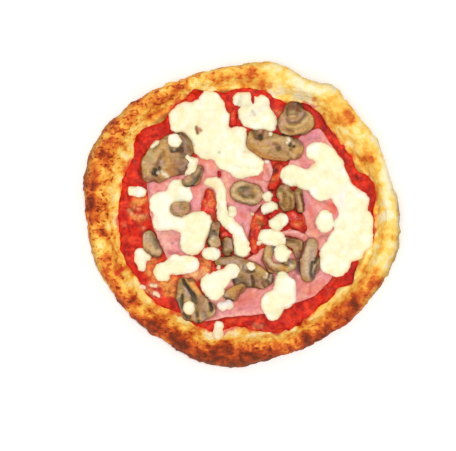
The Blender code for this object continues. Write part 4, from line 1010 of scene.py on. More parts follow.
# Peeled tomato torn up and roasted: deep red with orange flesh, wet, a little see-through.
tomatoMaterial = makeWetMaterial("roasted tomato flesh", {
    "coarse": 2.4, "fine": 0.9, "shade": "#D8AEA4", "depth": 0.8, "fleckGain": 1.2,
    "wet": 0.2, "dry": 0.42, "bump": 0.3, "glowShare": 0.1, "glow": (1.0, 0.25, 0.1), "glowReach": 1.0,
    "ior": 1.38, "gloss": 0.3,
})
# The pink marks, the raised bright mark at the top of tomato_01 and the amber dots on tomato_02 are painted
# highlights on the wet flesh.
tomatoes = (
    {"node": "tomato_01", "strokes": ["291 216 6.5, 297 221 8.5, 303 228 4.5", "284 225 3.8"], "marks": (
        "bright 0.9 0.9 0.3: 290 212 2.4, 296 214 2.4", "pink 0.8 0.7 0.2: 293 214 1.2, 296 219 1.3",
        "deep 0.9 0.8: 299 210 1.5, 299 219 1.4", "deep 0.9 0.9: 302 221 1.6, 304 228 2",
        "orange 0.95 0.9 -0.5: 295 224 2, 300 224 2.2", "amber 0.6 0.7: 297 224 1.2",
        "crimson 0.9 0.8: 281 229 1.6, 287 225 2, 289 219 1.4", "dark 0.6 0.7: 304 232 1.4",
        "orange 0.7 0.7: 304 214 1, 306 222 1", "deep 0.3 2: 290 216 3, 297 220 5",
        "deep 0.6 0.6: 293 228 0.9, 299 230 0.9",
    )},
    {"node": "tomato_02",
     "strokes": ["263 209 4, 258 218 5.5, 255 229 5, 253 240 4.5, 254 250 4.5", "264 220 5"], "marks": (
        "crimson 0.9 0.8: 260 207 2, 259 214 2", "dark 0.7 0.5: 262 203 0.9, 258 212 0.8",
        "crimson 0.9 0.7 0.2: 264 214 1.4, 267 221 1.2, 271 228 0.9", "dark 0.8 0.5: 270 227 1.1",
        "amber 0.9 0.6: 257 217 1, 261 218 1.1", "olive 0.95 0.6 -0.6: 258.5 221.5 1.5, 262.5 224.5 1.6",
        "brown 0.8 0.5: 260 225.5 0.9, 264 226 0.8", "straw 0.9 0.5: 260 228 0.8, 266 229 0.9",
        "orange 0.8 1.1: 253 221 2, 253 228 2", "bright 0.9 0.9 0.3: 257 231 1.8, 256 240 1.6",
        "deep 0.9 0.7: 254 231 1, 254.5 238 1.3", "dark 0.8 0.5: 250.3 230 0.7, 249.8 240 0.8",
        "orange 0.9 0.7: 252.5 241 1.3, 254.5 248 1.5", "deep 0.9 0.5: 250.4 243 0.8, 250.3 252 0.8",
        "crimson 0.9 0.7: 259 250 2, 262.5 246 1.4", "dark 0.9 0.6: 251 253 0.8, 249 258 1.1",
    )},
    {"node": "tomato_03", "strokes": ["279 168 5, 276 180 5, 271.5 187.5 4"], "marks": (
        "bright 0.8 0.9 0.3: 281.5 168 2.4, 280 173 1.6", "pink 0.7 0.6: 282 171.5 1.3",
        "brown 0.8 0.7: 279 165 1.5, 274 168 1.2", "dark 1 0.5 -1.4: 276 171 2",
        "dark 0.95 0.5 -1.2: 273 174 1.1, 272 177 0.8", "olive 0.8 0.6: 271 170 1.1, 269.5 176 1.1",
        "orange 1 0.8: 274 178 1.8, 278 176 1.7", "amber 0.9 0.5: 274 180 1.2",
        "brown 0.95 0.7 -0.4: 271 182 2, 273 182 1.5", "bright 0.9 0.8 0.2: 272 186 2, 275 184 1.4",
        "dark 0.8 0.6: 268.5 189.5 1.2, 272 190.5 1.3", "deep 0.6 0.6: 279 180 0.9, 277 186 0.9",
    )},
    {"node": "tomato_04", "strokes": ["209 193 4.5, 209 203 7.5, 206 209 5", "212 210 3.4, 214 218 1.6"],
     "marks": (
        "pink 0.9 1: 203 193 1.8, 202 200 1.4", "dark 0.6 0.5: 205 196 1",
        "deep 1 0.6 -0.9: 206 192.5 1.1, 204.5 197 1.4", "orange 0.95 0.9: 212 192 3, 214 202 3",
        "brown 0.7 0.6: 208 188 1.1, 214 192 1, 216 200 0.8", "orange 0.8 0.8: 204 202 1.8, 206 206 1.6",
        "amber 0.9 0.6: 209.5 203 1, 211 206 1.1", "brown 0.8 0.5 -0.4: 212 208 0.9",
        "deep 0.7 0.6: 202 203 0.7, 201 209 0.8", "bright 0.95 0.7 0.2: 203 210 2, 207 209.5 2",
        "pink 0.7 0.6: 203 212.5 0.9", "pink 0.6 0.8: 211 210 1.4, 212 213 1",
        "brown 0.95 0.7: 213 215 1.4, 214.5 220 1.2", "deep 0.5 0.8: 211 197 1.6",
    )},
    {"node": "tomato_05", "strokes": ["222.5 235 3.6, 229 235 3.8"], "marks": (
        "dark 0.85 0.7: 220 233 1.2, 220.5 237 1.4", "pink 0.95 0.7 0.3: 224.5 233.5 1.6, 226 235 1.2",
        "crimson 0.9 0.8: 230 234.5 1.9", "brown 0.85 0.6: 222 238.5 1, 229 239 1",
        "dark 0.7 0.5: 223 230.5 1",
    )},
    {"node": "tomato_06", "strokes": ["214 265 2.6, 214.5 271 3"], "marks": (
        "bright 0.8 0.6: 213 268 1", "crimson 0.7 0.6: 215.5 267 1.1", "orange 0.7 0.6: 211.5 271 1",
        "dark 0.9 0.5: 214.5 273.5 1.1", "brown 0.8 0.6: 213 262 1.2",
    )},
)
layAll(tomatoes, tomatoFlesh, tomatoMaterial)


# Its white marks, laid on the tops of the pools and balls, are painted highlights.
mozzarella = {
    "slot": "mozzarella", "ending": "_melted", "cover": 0.3, "contactShade": "#C09A72",
    "base": "#F6F1CF", "cream": "#F5EDC0", "white": "#FAF8EA", "thin": "#F2C6AC", "yellow": "#F1DA9C",
    "brown": "#8E4C2A", "toast": "#C0835A", "lilac": "#EBD8DE", "green": "#ECF0CA", "grey": "#BDB59C",
    "olive": "#847A5C",
    "thickness": 2.0, "rim": 0.2, "roundOver": 3.2, "dome": 0.4, "melt": 1.5, "melted": True,
    "spacing": 0.85, "sink": 0.2, "thinnest": 0.2, "bridge": (8, 6, 4, 3, 2, 1, 1),
    "grainShare": 1.0, "sway": 0.6,
    "wobble": ((6, 1.1), (3, 0.7), (1.7, 0.3)),
    "relief": ((9, 0.4), (4, 0.18), (1.8, 0.07)),
    "mottle": (("cream", 0.8, 10, -0.1, 0.5), ("white", 0.9, 7, -0.1, 0.5), ("green", 0.7, 6, 0.0, 0.6),
               ("lilac", 0.2, 5, 0.3, 0.7)),
    "edge": ("thin", 0.8, 0.8),
}
# Fresh mozzarella melted into pools: soft ivory, light goes a little way in, a slight greasy sheen.
mozzarellaMaterial = makeWetMaterial("melted mozzarella", {
    "coarse": 7.0, "fine": 1.6, "shade": "#F8F2E0", "depth": 0.8, "fleckGain": 1.015,
    "wet": 0.34, "dry": 0.5, "bump": 0.2, "glowShare": 0.25, "glow": (1.0, 0.85, 0.6), "glowReach": 1.6,
    "ior": 1.45, "gloss": 0.35,
})
lowerPools = (
    {"name": "mozzarella_05_strand", "node": "mozzarella_05",
     "strokes": ["209 182 4.5, 216 183 6.5, 221 190 5.5, 221.5 207 5, 224 217 7, 232 226 6.5, "
                 "238 231 6, 240 240 7, 242 249 8.3"],
     "marks": (
        "yellow 0.8 1.6: 207 182 3, 216 184 4", "thin 0.6 1: 209 187 1.6, 216 190 1.6",
        "grey 0.35 0.8: 219 205 0.9, 220 211 0.9", "grey 0.35 0.7: 234 250 0.9, 237 256 0.9",
    )},
    {"node": "mozzarella_01",
     "chunks": ["181 117 12, 186 110.5 10, 199 113 13, 210 101 11, 216 106 9, 213 117 13, 220 119 10",
                "199 134 12, 179 126 9, 190 138 9, 199 144 9, 217 134 14, 233 141 13.5, 240 134 7.5",
                "208 148 11.5, 228 157 14, 241 165 13.5, 254 166 10, 248 153 6, 255 159 6.5"], "marks": (
        "brown 1 0.3 -1.4: 196.5 127.3 1.4, 197.3 132.5 1.1",
        "toast 1 0.35 -0.7: 199.5 129 1.1, 200.5 130.5 1.3", "yellow 0.6 1: 198 123 1.6",
        "grey 0.5 0.6: 248.5 152.5 1", "toast 0.4 0.6: 245 151.5 0.9", "olive 0.5 0.5: 219 152.5 0.9",
    )},
    {"node": "mozzarella_02",
     "chunks": ["240 100 8, 247 99 7.5, 262 102 8, 250 115 12, 262 119 13, 269 122 9.5"],
     "cuts": ["252.5 92 2.6, 253 102.5 1.5", "233 109 3, 241 106.3 1.1"], "marks": (
        "olive 0.85 0.45 -0.5: 252 111 0.9, 254.8 114.5 0.8", "grey 0.45 0.9: 241 97 1.6, 239 103 1.6",
        "grey 0.4 0.7: 246 105 1.2, 250 104.5 1", "grey 0.35 0.9: 274 113 1.2, 275.5 126 1.2",
        "green 0.6 1.5: 248 116 3, 262 108 3", "lilac 0.5 1.2: 246 118 1.6, 268 104 1.6",
    )},
    {"node": "mozzarella_03",
     "chunks": ["162 204 12.5, 178 191 12, 183 195 9.5, 173 204 11, 166 218 13, 161 222 8.5, 179 222 9",
                "195 227 15, 192 242 13, 200 224 12"], "marks": (
        "white 0.8 3: 162 205 10, 166 220 10", "cream 0.3 3: 195 226 10, 193 243 9",
        "lilac 0.3 1: 176 198 1.2, 180 198.5 1.2", "grey 0.4 0.7: 181 200 1, 183 200 0.9",
        "thin 0.5 0.9: 158 230 1.2, 166 230 1", "yellow 0.5 1: 193 254 1.6, 199 253 1.4",
        "grey 0.3 1: 157 217 1, 158 224 1",
    )},
    {"node": "mozzarella_04", "chunks": ["163 272 9.5, 176 265 10.5, 184 265 9, 191 264 8.5"],
     "cuts": ["171.5 277 1.4, 174 280 2.4"], "marks": (
        "cream 0.3 2: 182 261 5, 191 258 3", "thin 0.8 0.7: 171.5 276 1.8, 174 274.5 1.4",
        "toast 0.35 0.9: 173 278 1.6",
    )},
    {"node": "mozzarella_06",
     "chunks": ["316 151 10, 325 155 11, 332 166 12, 320 174 12, 336 180 13, 291 175 11, 305 179 11",
                "322 188 13, 346 196 14, 346 209 8, 339.5 224 6.5, 358 203 12, 360 222 14.5, 349 226 13",
                "360 238 14, 342 243 15, 333 253 13, 338 264 12.5, 354 251 11, 328 264 9"], "marks": (
        "white 0.6 4: 345 205 8, 350 226 6", "toast 0.3 1.2: 309 166.5 1.6, 313 167 1",
        "thin 0.8 1: 305 163 1.4, 311 165 1.6", "grey 0.4 0.8: 325 171.5 0.9, 327 172.5 0.9",
        "cream 0.45 4: 352 235 9", "white 0.35 3: 336 260 8", "cream 0.5 3: 325 165 7",
        "lilac 0.5 1.5: 343 188 1.6, 341 206 1.6", "green 0.6 1.5: 354 210 2.4, 354 216 2",
        "grey 0.35 0.7: 333 219 1, 332 226 1, 330.5 231 0.8", "lilac 0.5 0.9: 334 216 1",
        "green 0.6 2: 322 186 3, 310 182 3",
    )},
    {"node": "mozzarella_07", "chunks": ["325 219 8.3, 325 225 8.3"], "marks": ("white 0.6 2: 326 220 5",)},
    {"node": "mozzarella_08", "chunks": ["141 254 6.5, 140 261 5.5, 142 268 3.5, 147 257 3.8"], "marks": (
        "white 0.6 2: 141 256 4", "thin 0.5 0.8: 142 270 1.6",
    )},
    {"node": "mozzarella_09", "chunks": ["133 191 5.5, 141 192 5.5"], "marks": (
        "lilac 0.5 1.5: 136 191 2.4", "yellow 0.4 1: 144 195 1.6",
    )},
    {"node": "mozzarella_10", "chunks": ["219 326 4, 218 334 5.5"], "marks": (
        "thin 0.35 2: 218 330 4", "yellow 0.35 0.9: 221 334 1.2",
    )},
)
layAll(lowerPools, mozzarella, mozzarellaMaterial)


mushroom = {
    "slot": "mushroom", "ending": "_slice", "cover": 1.0, "contactShade": "#7C5E3C",
    "base": "#BC9252", "light": "#D4AD6E", "gold": "#CD9C4E", "ochre": "#B0823A", "tan": "#A8804E",
    "pale": "#DCC298", "cream": "#F3E3C4", "beige": "#C49C7A", "pink": "#C89882", "lilac": "#B89C90",
    "mauve": "#8A6352", "plum": "#5E332C", "brown": "#7A4C2C", "umber": "#68451C", "russet": "#864420",
    "red": "#6E1F0C", "dark": "#3A260E", "black": "#170F06", "olive": "#7E6A3A", "moss": "#565030",
    "green": "#B4A66E", "grey": "#8A7E70", "orange": "#B96F30", "smoke": "#6A625A", "straw": "#D6B272",
    "amber": "#F0A850", "rust": "#D8601C",
    "thickness": 3.0, "rim": 1.2, "roundOver": 1.5, "dome": 0.2, "melt": 0.9, "melted": False,
    "spacing": 0.62, "sink": 0.1, "thinnest": 0.7, "bridge": (8, 6, 4, 3, 2, 1, 1), "grainShare": 0.6,
    "sag": 0.5, "sway": 0.35,
    "wobble": ((5, 0.7), (2.2, 0.35)),
    "relief": ((5, 0.6), (2.4, 0.4), (1.4, 0.15)),
    "mottle": (("tan", 0.6, 5, 0.0, 0.6), ("light", 0.7, 4, 0.1, 0.6), ("brown", 0.45, 3, 0.25, 0.7),
               ("pale", 0.45, 2.6, 0.3, 0.75), ("umber", 0.35, 2, 0.35, 0.8)),
    "edge": ("umber", 0.75, 0.65),
}
# Sliced mushrooms cooked in their own juice: tan flesh, darker where it is wet, with a clear sheen.
mushroomMaterial = makeWetMaterial("cooked mushroom slices", {
    "coarse": 2.6, "fine": 0.9, "shade": "#DCC6A8", "depth": 0.6, "fleckGain": 1.12,
    "wet": 0.24, "dry": 0.48, "bump": 0.35, "glowShare": 0.04, "glow": (1.0, 0.7, 0.45), "glowReach": 0.6,
    "ior": 1.38, "gloss": 0.4,
})
# The dark marks pressed into the slices are partly the gills' own colour and partly painted shade in their
# slits, hollows and under their edges; the raised pale and cream marks are partly lighter flesh and partly
# painted highlights.
mushroomSlices = (
    {"node": "mushroom_01",
     # the third stroke fills the hollow under the arch with flesh that is painted as shadow
     "strokes": ["166 141 5, 155 151 7, 149 163 8, 149 175 7.5", "158 178 5, 170 165 12, 181 165 10",
                 "172 150 5, 180 150 6", "170 137 3.5, 181 137 5, 188 144 4.5, 189 152 4", "163 150 8"],
     "marks": (
        "gold 0.9 1.2 0.5: 161 145 2.6, 166 151 3", "light 0.8 1.2 0.4: 157 154 2, 154 161 2.6",
        "green 0.85 0.9 0.3: 150.5 155 2.2, 151 160 1.8", "beige 0.8 0.9: 148 161 1.6, 150 166 2",
        "straw 0.8 1 0.3: 146 167 2, 147 173 2.2", "pale 0.85 0.5: 143.3 163 0.9",
        "ochre 0.7 0.9: 143.5 169 1.6, 145 175 1.6", "brown 0.6 0.7: 142 171 0.8, 143 178 0.9",
        "beige 0.9 0.6 0.3: 147 176.5 1, 154 177 1",
        "russet 0.85 0.9: 146 179.5 1.8, 154 180.5 2.4, 160 179 1.6",
        "umber 0.9 0.5 -0.4: 150 183 1, 156 182 1", "pink 0.7 0.7: 148 181 1.2",
        "olive 0.85 0.5 -0.3: 153 150.5 0.8, 159 144 0.8",
        "brown 0.8 0.7 -0.9: 164 151.5 0.9, 160 158 1.1, 157 165 1.3",
        "mauve 0.8 0.8 -0.5: 155 166 1.4, 158 163.5 1.4", "lilac 0.7 0.8 0.3: 161.5 161 1.4, 162 166 1.4",
        "gold 0.95 1 0.7: 168 160 2.4, 170 165 2.4", "straw 0.7 0.6 0.2: 164 168 1, 168 163 1",
        "orange 0.75 1.1 0.3: 174 161 2, 174 167 2.4", "brown 0.45 1.8: 175 166 5",
        "orange 0.7 0.9: 170 172 2, 174 174 1.8", "beige 0.85 0.7 0.3: 170 153.5 1.3, 176 153 1.3",
        "tan 0.9 0.6: 170 156.5 1, 176 157.5 1", "brown 0.9 0.8 -0.3: 181.5 153.5 1.8, 183 157 1.4",
        "olive 0.8 0.7: 180.5 158 1.3", "mauve 0.9 1 0.2: 181 163 2.8, 185 165 2",
        "lilac 0.6 0.7: 186.5 166 1, 187.5 163 0.8",
        "dark 0.9 0.6 -0.8: 187 157 1, 190 162 1, 187 166.5 0.9",
        "umber 0.8 0.5 -0.4: 186 168 0.8, 182 175 0.8", "mauve 0.9 0.8: 177 170 1.8, 183 169 1.4",
        "plum 0.95 0.6 -0.4: 181 172 1.5, 179 176 1.4",
        "black 1 0.45 -2.4: 153.5 173 1.8, 155 170.5 2, 156 175 1.2",
        "black 1 0.4 -2.4: 159.3 167.5 1, 159.6 171 1.1", "cream 0.9 0.35: 158 172.8 1.1",
        "cream 0.95 0.45 0.4: 161.5 171.5 0.9, 165 174.5 1.3, 167.5 176.5 1",
        # painted shadow in the hollow under the arch
        "smoke 0.95 0.7 -0.8: 170 148 1.2, 173 149.5 1.4", "black 1 0.5 -1.8: 172 151 0.9, 178 150 1.4",
        "black 1 0.5 -2.2: 181.5 148.5 2.1", "plum 0.8 0.6 -0.6: 182 151 1.4",
        "moss 1 0.6 -1: 183 144.5 1.5", "pale 0.7 0.5: 174 149 0.8",
        "mauve 0.9 0.9 0.2: 183 138 2, 186 146 2, 187 152 1.5", "pink 0.6 0.6: 183.5 136.5 0.8",
        "lilac 0.6 0.7: 185 141 1, 185 148 1.1",
        "dark 0.95 0.5 -0.4: 176 133 0.9, 181 133.5 1, 186 136.5 1",
        "olive 0.9 0.6 0.2: 187 138 1.2, 190 143 1.2, 190.3 150 1.1",
        "russet 0.7 0.6: 188 147 0.8, 191 153 0.9", "smoke 0.6 0.6: 183 154 0.8, 187 155 0.8",
    )},
    {"node": "mushroom_02", "strokes": ["199 170 4.5, 194 179 7, 187 182 5"], "marks": (
        "olive 0.95 0.7 0.4: 198 168 1.4, 195 172 1.6, 192.5 175 1.3",
        "straw 0.6 0.5 0.2: 199 170.5 0.8, 196 175 0.8", "russet 0.95 0.7: 201.8 168.5 1.5, 202 171 1.3",
        "plum 0.8 0.5 -0.4: 201.5 169.5 0.9", "lilac 0.7 0.7: 202 174.5 1, 203 172.5 0.8",
        "dark 0.95 0.6 -0.7: 200 173 0.9, 197.5 179 1.4, 193 184.5 1",
        "smoke 0.9 0.8 0.2: 194.5 177 1.5, 192.5 181.5 1.6", "mauve 0.7 0.7: 192 177 1",
        "pink 0.95 0.8 0.3: 184 178 1.8, 188 178 1.8", "gold 0.7 0.6: 190 178.5 1",
        "pale 0.9 0.6 0.2: 187.5 183 1.4", "olive 0.8 0.6: 183 181.5 0.8, 185 184 0.8, 191 183 0.8",
        "black 0.95 0.5 -0.5: 186 186 0.9, 189.5 187 1.1, 193 186 1",
    )},
    {"node": "mushroom_03", "edge": ("brown", 0.75, 0.8),
     "strokes": ["257 142 10.8, 268 147 12.5, 283 148 13.5, 293 148.5 10.8",
                 "252 134.5 4, 262 134 4.2, 276 138 5"], "marks": (
        "ochre 0.8 1.3: 251 146 2.4, 256 149 2.4", "light 0.6 0.9 0.3: 250 137 1.8, 252 141 1.8",
        "gold 0.7 0.9: 254 146 1.6, 265 146 1.6", "moss 0.9 0.6: 252 130.5 1, 257 129.8 0.9",
        "umber 0.95 0.7 -1.2: 253.5 132.5 1.2, 256 136 2, 260 137 2.6",
        "black 1 0.5 -1.4: 261 135.3 1.3, 261 138 1.3", "plum 0.7 0.6: 257 139 1",
        "olive 0.9 0.5: 257.5 131.5 1", "pink 0.95 0.5 0.3: 260 132 1.1, 262 131 1",
        "russet 0.95 0.5: 263.3 130 1, 263.3 134 1", "mauve 0.9 0.6: 267.5 131.5 1.2",
        "beige 0.8 0.6: 265.5 135 1.1, 266 133 0.8", "olive 0.7 0.8: 267 138 1.4, 276 137.5 1.4",
        "straw 0.9 0.7 0.3: 272.5 140 1.1, 280 140 1.1", "pink 0.7 0.7: 268 142 1.4, 270 143 1.2",
        "pink 0.5 0.7: 257 142.5 1.3", "green 0.6 0.8 0.2: 284 140 1.4, 290 146 1",
        # the black line is painted shadow under the lower edge of mushroom_04
        "black 0.95 0.45 -0.9: 270 131 0.7, 278 132.5 1, 284 135 0.8, 290 136 0.7",
        "brown 0.9 0.6 -0.5: 273 143.8 0.7, 277 144.5 0.9", "pink 0.8 0.6 0.2: 273 147 1.1",
        "tan 0.9 0.6 0.3: 272.5 151 0.9, 278 153 0.9, 285 151 0.9, 286 145 0.9",
        "umber 0.98 0.6 -1: 279 148 2.2", "moss 0.6 0.5: 278 149.5 1",
        "beige 0.9 0.6 0.2: 283.5 145 1.2, 284 148 1.2",
        "cream 0.95 0.45 0.4: 289 138.5 1.3, 289.3 141.5 1.3, 287 142.5 0.8",
        "olive 0.9 0.5: 292 137 1.1, 293.5 140 1", "dark 0.9 0.5 -0.4: 294 138.5 0.8, 295 136 0.7",
        "black 1 0.4 -1.3: 291 143.3 1, 290 145.5 1", "black 0.95 0.4 -1.2: 293.5 146.3 1.2",
        "umber 0.95 0.4 -0.6: 290.8 149.3 1", "pale 0.8 0.4: 293.5 143 0.9",
        "mauve 0.9 0.8: 297.5 141 1.8, 301 144 1.6", "russet 0.6 0.7: 299 139 1.6, 303 139 1",
        "gold 0.9 0.9 0.3: 296 152 2.4, 300 150 1.8", "brown 0.8 0.4 -0.3: 288 154.3 1",
        "brown 0.75 0.4 -0.3: 290.5 158.3 1.1", "straw 0.8 0.5 0.2: 293 155 1, 295 158.5 0.9",
        "orange 0.9 0.8 0.2: 253 151 0.9, 264 156.5 1.6, 270 158 1.4",
        "orange 0.8 0.8: 276 159.5 1.6, 283 160 1.4", "gold 0.6 0.6 0.3: 258 153.5 0.8, 268 157 0.8",
        "russet 0.8 0.8: 299 155 1.5, 296 158.5 1.2",
    )},
    {"node": "mushroom_04", "edge": ("brown", 0.75, 0.7),
     "strokes": ["290 123 12.5, 302 122 12.5", "294 110 9.5"], "marks": (
        "umber 0.98 0.8 2.2: 292 105 3.8, 296 106 4.4", "russet 0.45 1.2: 290 108 4, 295 107 4",
        "russet 0.7 0.8: 288 102 1.6, 294 100.5 1.6",
        # the black mark is painted shadow on the right side of the stem's dome
        "black 0.9 0.6: 297 103 1, 301 105 1.1, 303.5 108.5 1", "brown 0.85 0.8: 298 108 1.8, 299 111 1.6",
        "mauve 0.6 0.7: 291 109.5 1.3, 295 110 1.3", "dark 0.85 0.5 -0.4: 287 108 0.8, 287.3 115 0.8",
        "green 0.8 0.6 1.2: 291 112.8 1.3, 294 112.5 1.1", "umber 0.8 0.5: 291 115 0.8, 297 114.5 0.9",
        "light 0.9 0.6 0.8: 290 117 1, 295 117 1", "tan 0.8 0.5: 292 118.5 0.7, 297 117.5 0.8",
        "beige 0.95 0.6 0.4: 289.5 120.5 0.9, 294 120.8 1, 299 120 0.9",
        "lilac 0.9 0.7 0.2: 301.5 114 1.3, 302 117 1.2", "mauve 0.9 0.5 -0.3: 305.3 112 0.9, 305.3 116 0.9",
        "black 0.7 0.5: 301 111.3 0.8",
        "umber 0.95 0.6 -1: 287.5 120 0.9, 291 123.3 1.2, 297 122.5 1.2, 302 119.5 1.1, 306 115 0.9",
        "pink 0.85 1 0.2: 281.5 119 1.6, 281.5 125 1.8, 285 120 1.4",
        "mauve 0.6 0.6: 287 118.5 0.8, 288 121.5 0.8",
        "straw 0.95 0.7 0.6: 288 126 1.1, 295 127.3 1.2, 302 124.5 1.3, 307.5 118.5 1.3",
        "pale 0.7 0.5 0.2: 303 122 0.9, 307 117.5 0.9", "green 0.7 0.7: 309 112 1.2, 310 118 1",
        "light 0.8 0.9: 311.5 116 1.4, 311 124 1.5",
        "tan 0.7 0.6 -0.3: 291 129.5 0.7, 299 129.5 0.8, 306 126 0.8",
        "olive 0.9 0.5 -0.3: 278.3 118 0.9, 277.8 127 0.9", "ochre 0.7 0.8: 285 128 1.4, 290 132 1.4",
        "brown 0.9 0.45 -0.4: 286.5 129 0.7, 292.5 131 0.8", "pale 0.9 0.5 0.5: 282 132.3 0.9, 286 133 0.8",
        "light 0.9 0.8 0.2: 297 132 1.6, 304 130 1.6",
        "brown 0.9 0.6: 296 135 0.8, 304 133.7 0.9, 308 131.5 0.8",
    )},
    {"node": "mushroom_05", "edge": ("brown", 0.9, 0.7), "strokes": ["241 191.5 11, 252 194.5 11"],
     "marks": (
        # the dark line is painted shadow along the slice's lower edge
        "dark 0.7 0.5: 236 199.8 0.7, 246 203 0.8, 256 204.3 0.8",
        "brown 0.6 0.5: 244 181.5 0.8, 254 184.5 0.8",
        "pale 0.95 0.6 0.4: 233.5 189.5 1.3, 237 185.5 1.3, 243 183.7 1.2, 250 185.5 1",
        "beige 0.8 0.6 0.2: 254 187.3 1, 258 190.5 1", "tan 0.9 0.6 -0.2: 246 184.3 0.9, 252 185.8 1",
        "pale 0.85 0.6 0.3: 233.5 194.5 1.1, 238 198 1, 245 200.5 1.1, 254 201.3 1.1",
        "beige 0.95 0.8 0.2: 258.7 193 1.6, 257.5 199 1.6", "green 0.8 0.6: 237 190 1, 237.5 193.5 1",
        "olive 0.95 0.7 -0.8: 239.5 190.5 1.8, 247 188.8 1.9, 253.5 190.5 1.7",
        "moss 0.95 0.5 -0.3: 241 188 1, 247.5 187.5 1", "ochre 0.9 0.5: 252 190 1, 256.5 191.3 1",
        "straw 0.9 0.5 0.2: 255 190 0.8, 258 191.5 0.7",
        "olive 0.9 0.6 -0.6: 240.5 194.5 1.4, 245 197 1.6, 252.5 196.5 1.6",
        "moss 0.9 0.5 -0.2: 243 196 1.2, 246 197.5 1.1", "umber 0.8 0.5: 252.5 195.5 1.3",
        "mauve 0.8 0.8 0.2: 243 191.7 1.4, 250 193 1.6", "lilac 0.5 0.6: 246 192.5 1",
        "light 0.8 0.5 0.2: 236.5 195 0.7, 242 199 0.7, 250 200 0.8",
    )},
    {"node": "mushroom_06", "strokes": ["149 237 6.5, 151 245 8.5, 156 251 6.5"], "marks": (
        "lilac 0.98 0.9 0.3: 147.5 235.5 1.8, 147.5 240 2", "pink 0.5 0.6: 147.5 236 1.2",
        "pale 0.95 0.6 0.2: 143.3 235 0.9, 142.8 244 0.9", "green 0.7 0.6: 144 232.5 1, 149 231 0.9",
        "light 0.9 0.8 0.3: 146 245 1.6, 149 249 1.8", "orange 0.4 0.8: 150 247 1.6",
        "moss 0.98 0.6 -0.9: 151.5 234 0.9, 153 240 1.3, 156.5 248 1.5",
        "green 0.6 0.5: 151 236 0.6, 152 242 0.6", "mauve 0.9 0.6 0.2: 156.3 238 0.9, 159.5 246.5 1.1",
        "red 0.95 0.6 -0.3: 154.5 234 0.8, 158 241 0.9, 162 250 0.9, 162.5 256 0.8",
        "black 0.6 0.5: 156 239 0.8, 157.5 242 0.7", "pale 0.8 0.7 0.4: 152.5 252.5 1.3, 159 251.5 1.2",
        "beige 0.8 0.6: 154 254.5 1.2, 159 254 1.1", "pale 0.3 2: 148 240 4, 152 249 4",
        "umber 0.9 0.5: 145 251 0.7, 151 255.3 0.8, 158 257.3 0.8", "brown 0.5 0.8: 149 252 1.4",
    )},
    {"node": "mushroom_07", "edge": ("olive", 0.5, 0.7), "strokes": ["177 209 7, 185 208 6", "182 216 1.2"],
     "marks": (
        "beige 0.8 2: 177 209 7, 185 208 6", "olive 0.8 0.7: 172.5 208 1.1, 174 213 1, 179 216 0.8",
        "straw 0.7 0.6: 175 204 1.2, 179 203.5 1", "pink 0.98 0.8 0.3: 177 207.5 2, 177.5 211 1.6",
        "olive 0.85 0.6 -0.3: 181.5 203.5 0.9, 180.5 208 0.9",
        "ochre 0.95 0.8 0.2: 185 207 1.6, 187 209.5 1.4", "beige 0.8 0.7: 181.5 211 1.3, 182.5 214 1",
        "brown 0.8 0.6: 190 206 0.9, 190.5 210 0.9", "umber 0.5 0.5: 184.5 208.5 0.8",
    )},
    {"node": "mushroom_08",
     "strokes": ["183 284 6, 183 297 7.5, 190 313 8.5", "190 284 5.5, 196 298 7, 206 310 9, 198 317 7"],
     "marks": (
        "ochre 0.95 0.9 0.3: 178.5 280 2.2, 179.5 289 2", "olive 0.8 0.8: 181 284 1.2, 182.5 291 1.2",
        "straw 0.8 0.6 0.3: 181 291 0.9, 180.5 294.5 0.9",
        "brown 0.7 0.5 -0.3: 176.5 280 0.7, 176.5 296 0.7", "lilac 0.95 0.8 0.4: 185.5 289 1.4, 188 296 2",
        "green 0.6 0.6: 186 298.5 1.3",
        "black 1 0.3 -2.2: 183 279.5 1, 185 284 1.1, 189 289 1.3, 192 293.5 1.2, 194.3 297.5 1.7, "
        "195.3 301.5 1.6",
        "moss 0.9 0.6 -1: 192 299 1.4, 193.5 302 1",
        "black 0.95 0.35 -1.6: 182.3 295 1, 181.6 302 1.3, 182.3 308 1.1",
        "grey 0.95 0.7: 178.5 300 1.2, 179.5 308 1.4, 181 314 1.4",
        "umber 0.7 0.5: 176.8 300 0.7, 177.5 311 0.7",
        "amber 1 0.7 -0.9: 191.5 283 1.5, 196 288 2.2, 199 294 1",
        "rust 0.95 0.5: 196.5 284 1.5, 198 286 1", "brown 0.9 0.5: 189 280 0.9, 195 281 1",
        "dark 0.85 0.5 -0.4: 192.5 292 0.8, 195 295 0.7", "beige 0.9 0.9 0.4: 201 300 2.4, 203.5 309 3",
        "tan 0.7 0.7: 198 297 1.3, 199 304 1.2", "olive 0.85 0.7 -0.3: 196.8 304 1.2, 197.5 310 1.3",
        "pale 0.6 0.5 0.3: 206 300 0.7, 208.5 307 0.7", "smoke 0.9 0.6: 209.5 301 1, 213 301.5 1.1",
        "black 1 0.35 -1.5: 210.3 303.5 1.3, 211.6 308 1.5, 211.5 311 1",
        "green 0.8 0.7: 211.5 314 1.2, 211 318 1.2", "pale 0.9 0.5 0.4: 214.7 311 0.8, 213.8 319 0.8",
        "smoke 0.8 0.7 -0.3: 204 313 1.6, 206 318 1.6", "pale 0.7 0.5 0.2: 200 314.5 0.9, 201 318.5 0.9",
        "lilac 0.7 0.6 0.2: 203 315.5 0.9, 205 320 0.9",
        "dark 0.98 0.5 -1.2: 184 314 1, 186.5 316.7 1.3, 190 317.5 1",
        "plum 0.9 0.6: 187 319.5 1.1, 191 322 1.2", "beige 0.98 0.6 0.5: 194 315.5 1.6, 193.8 318.5 1.3",
        "dark 0.98 0.5 -1: 197 313 1.1, 197.3 316 1", "russet 0.8 0.6: 186 322 1, 195 323 1",
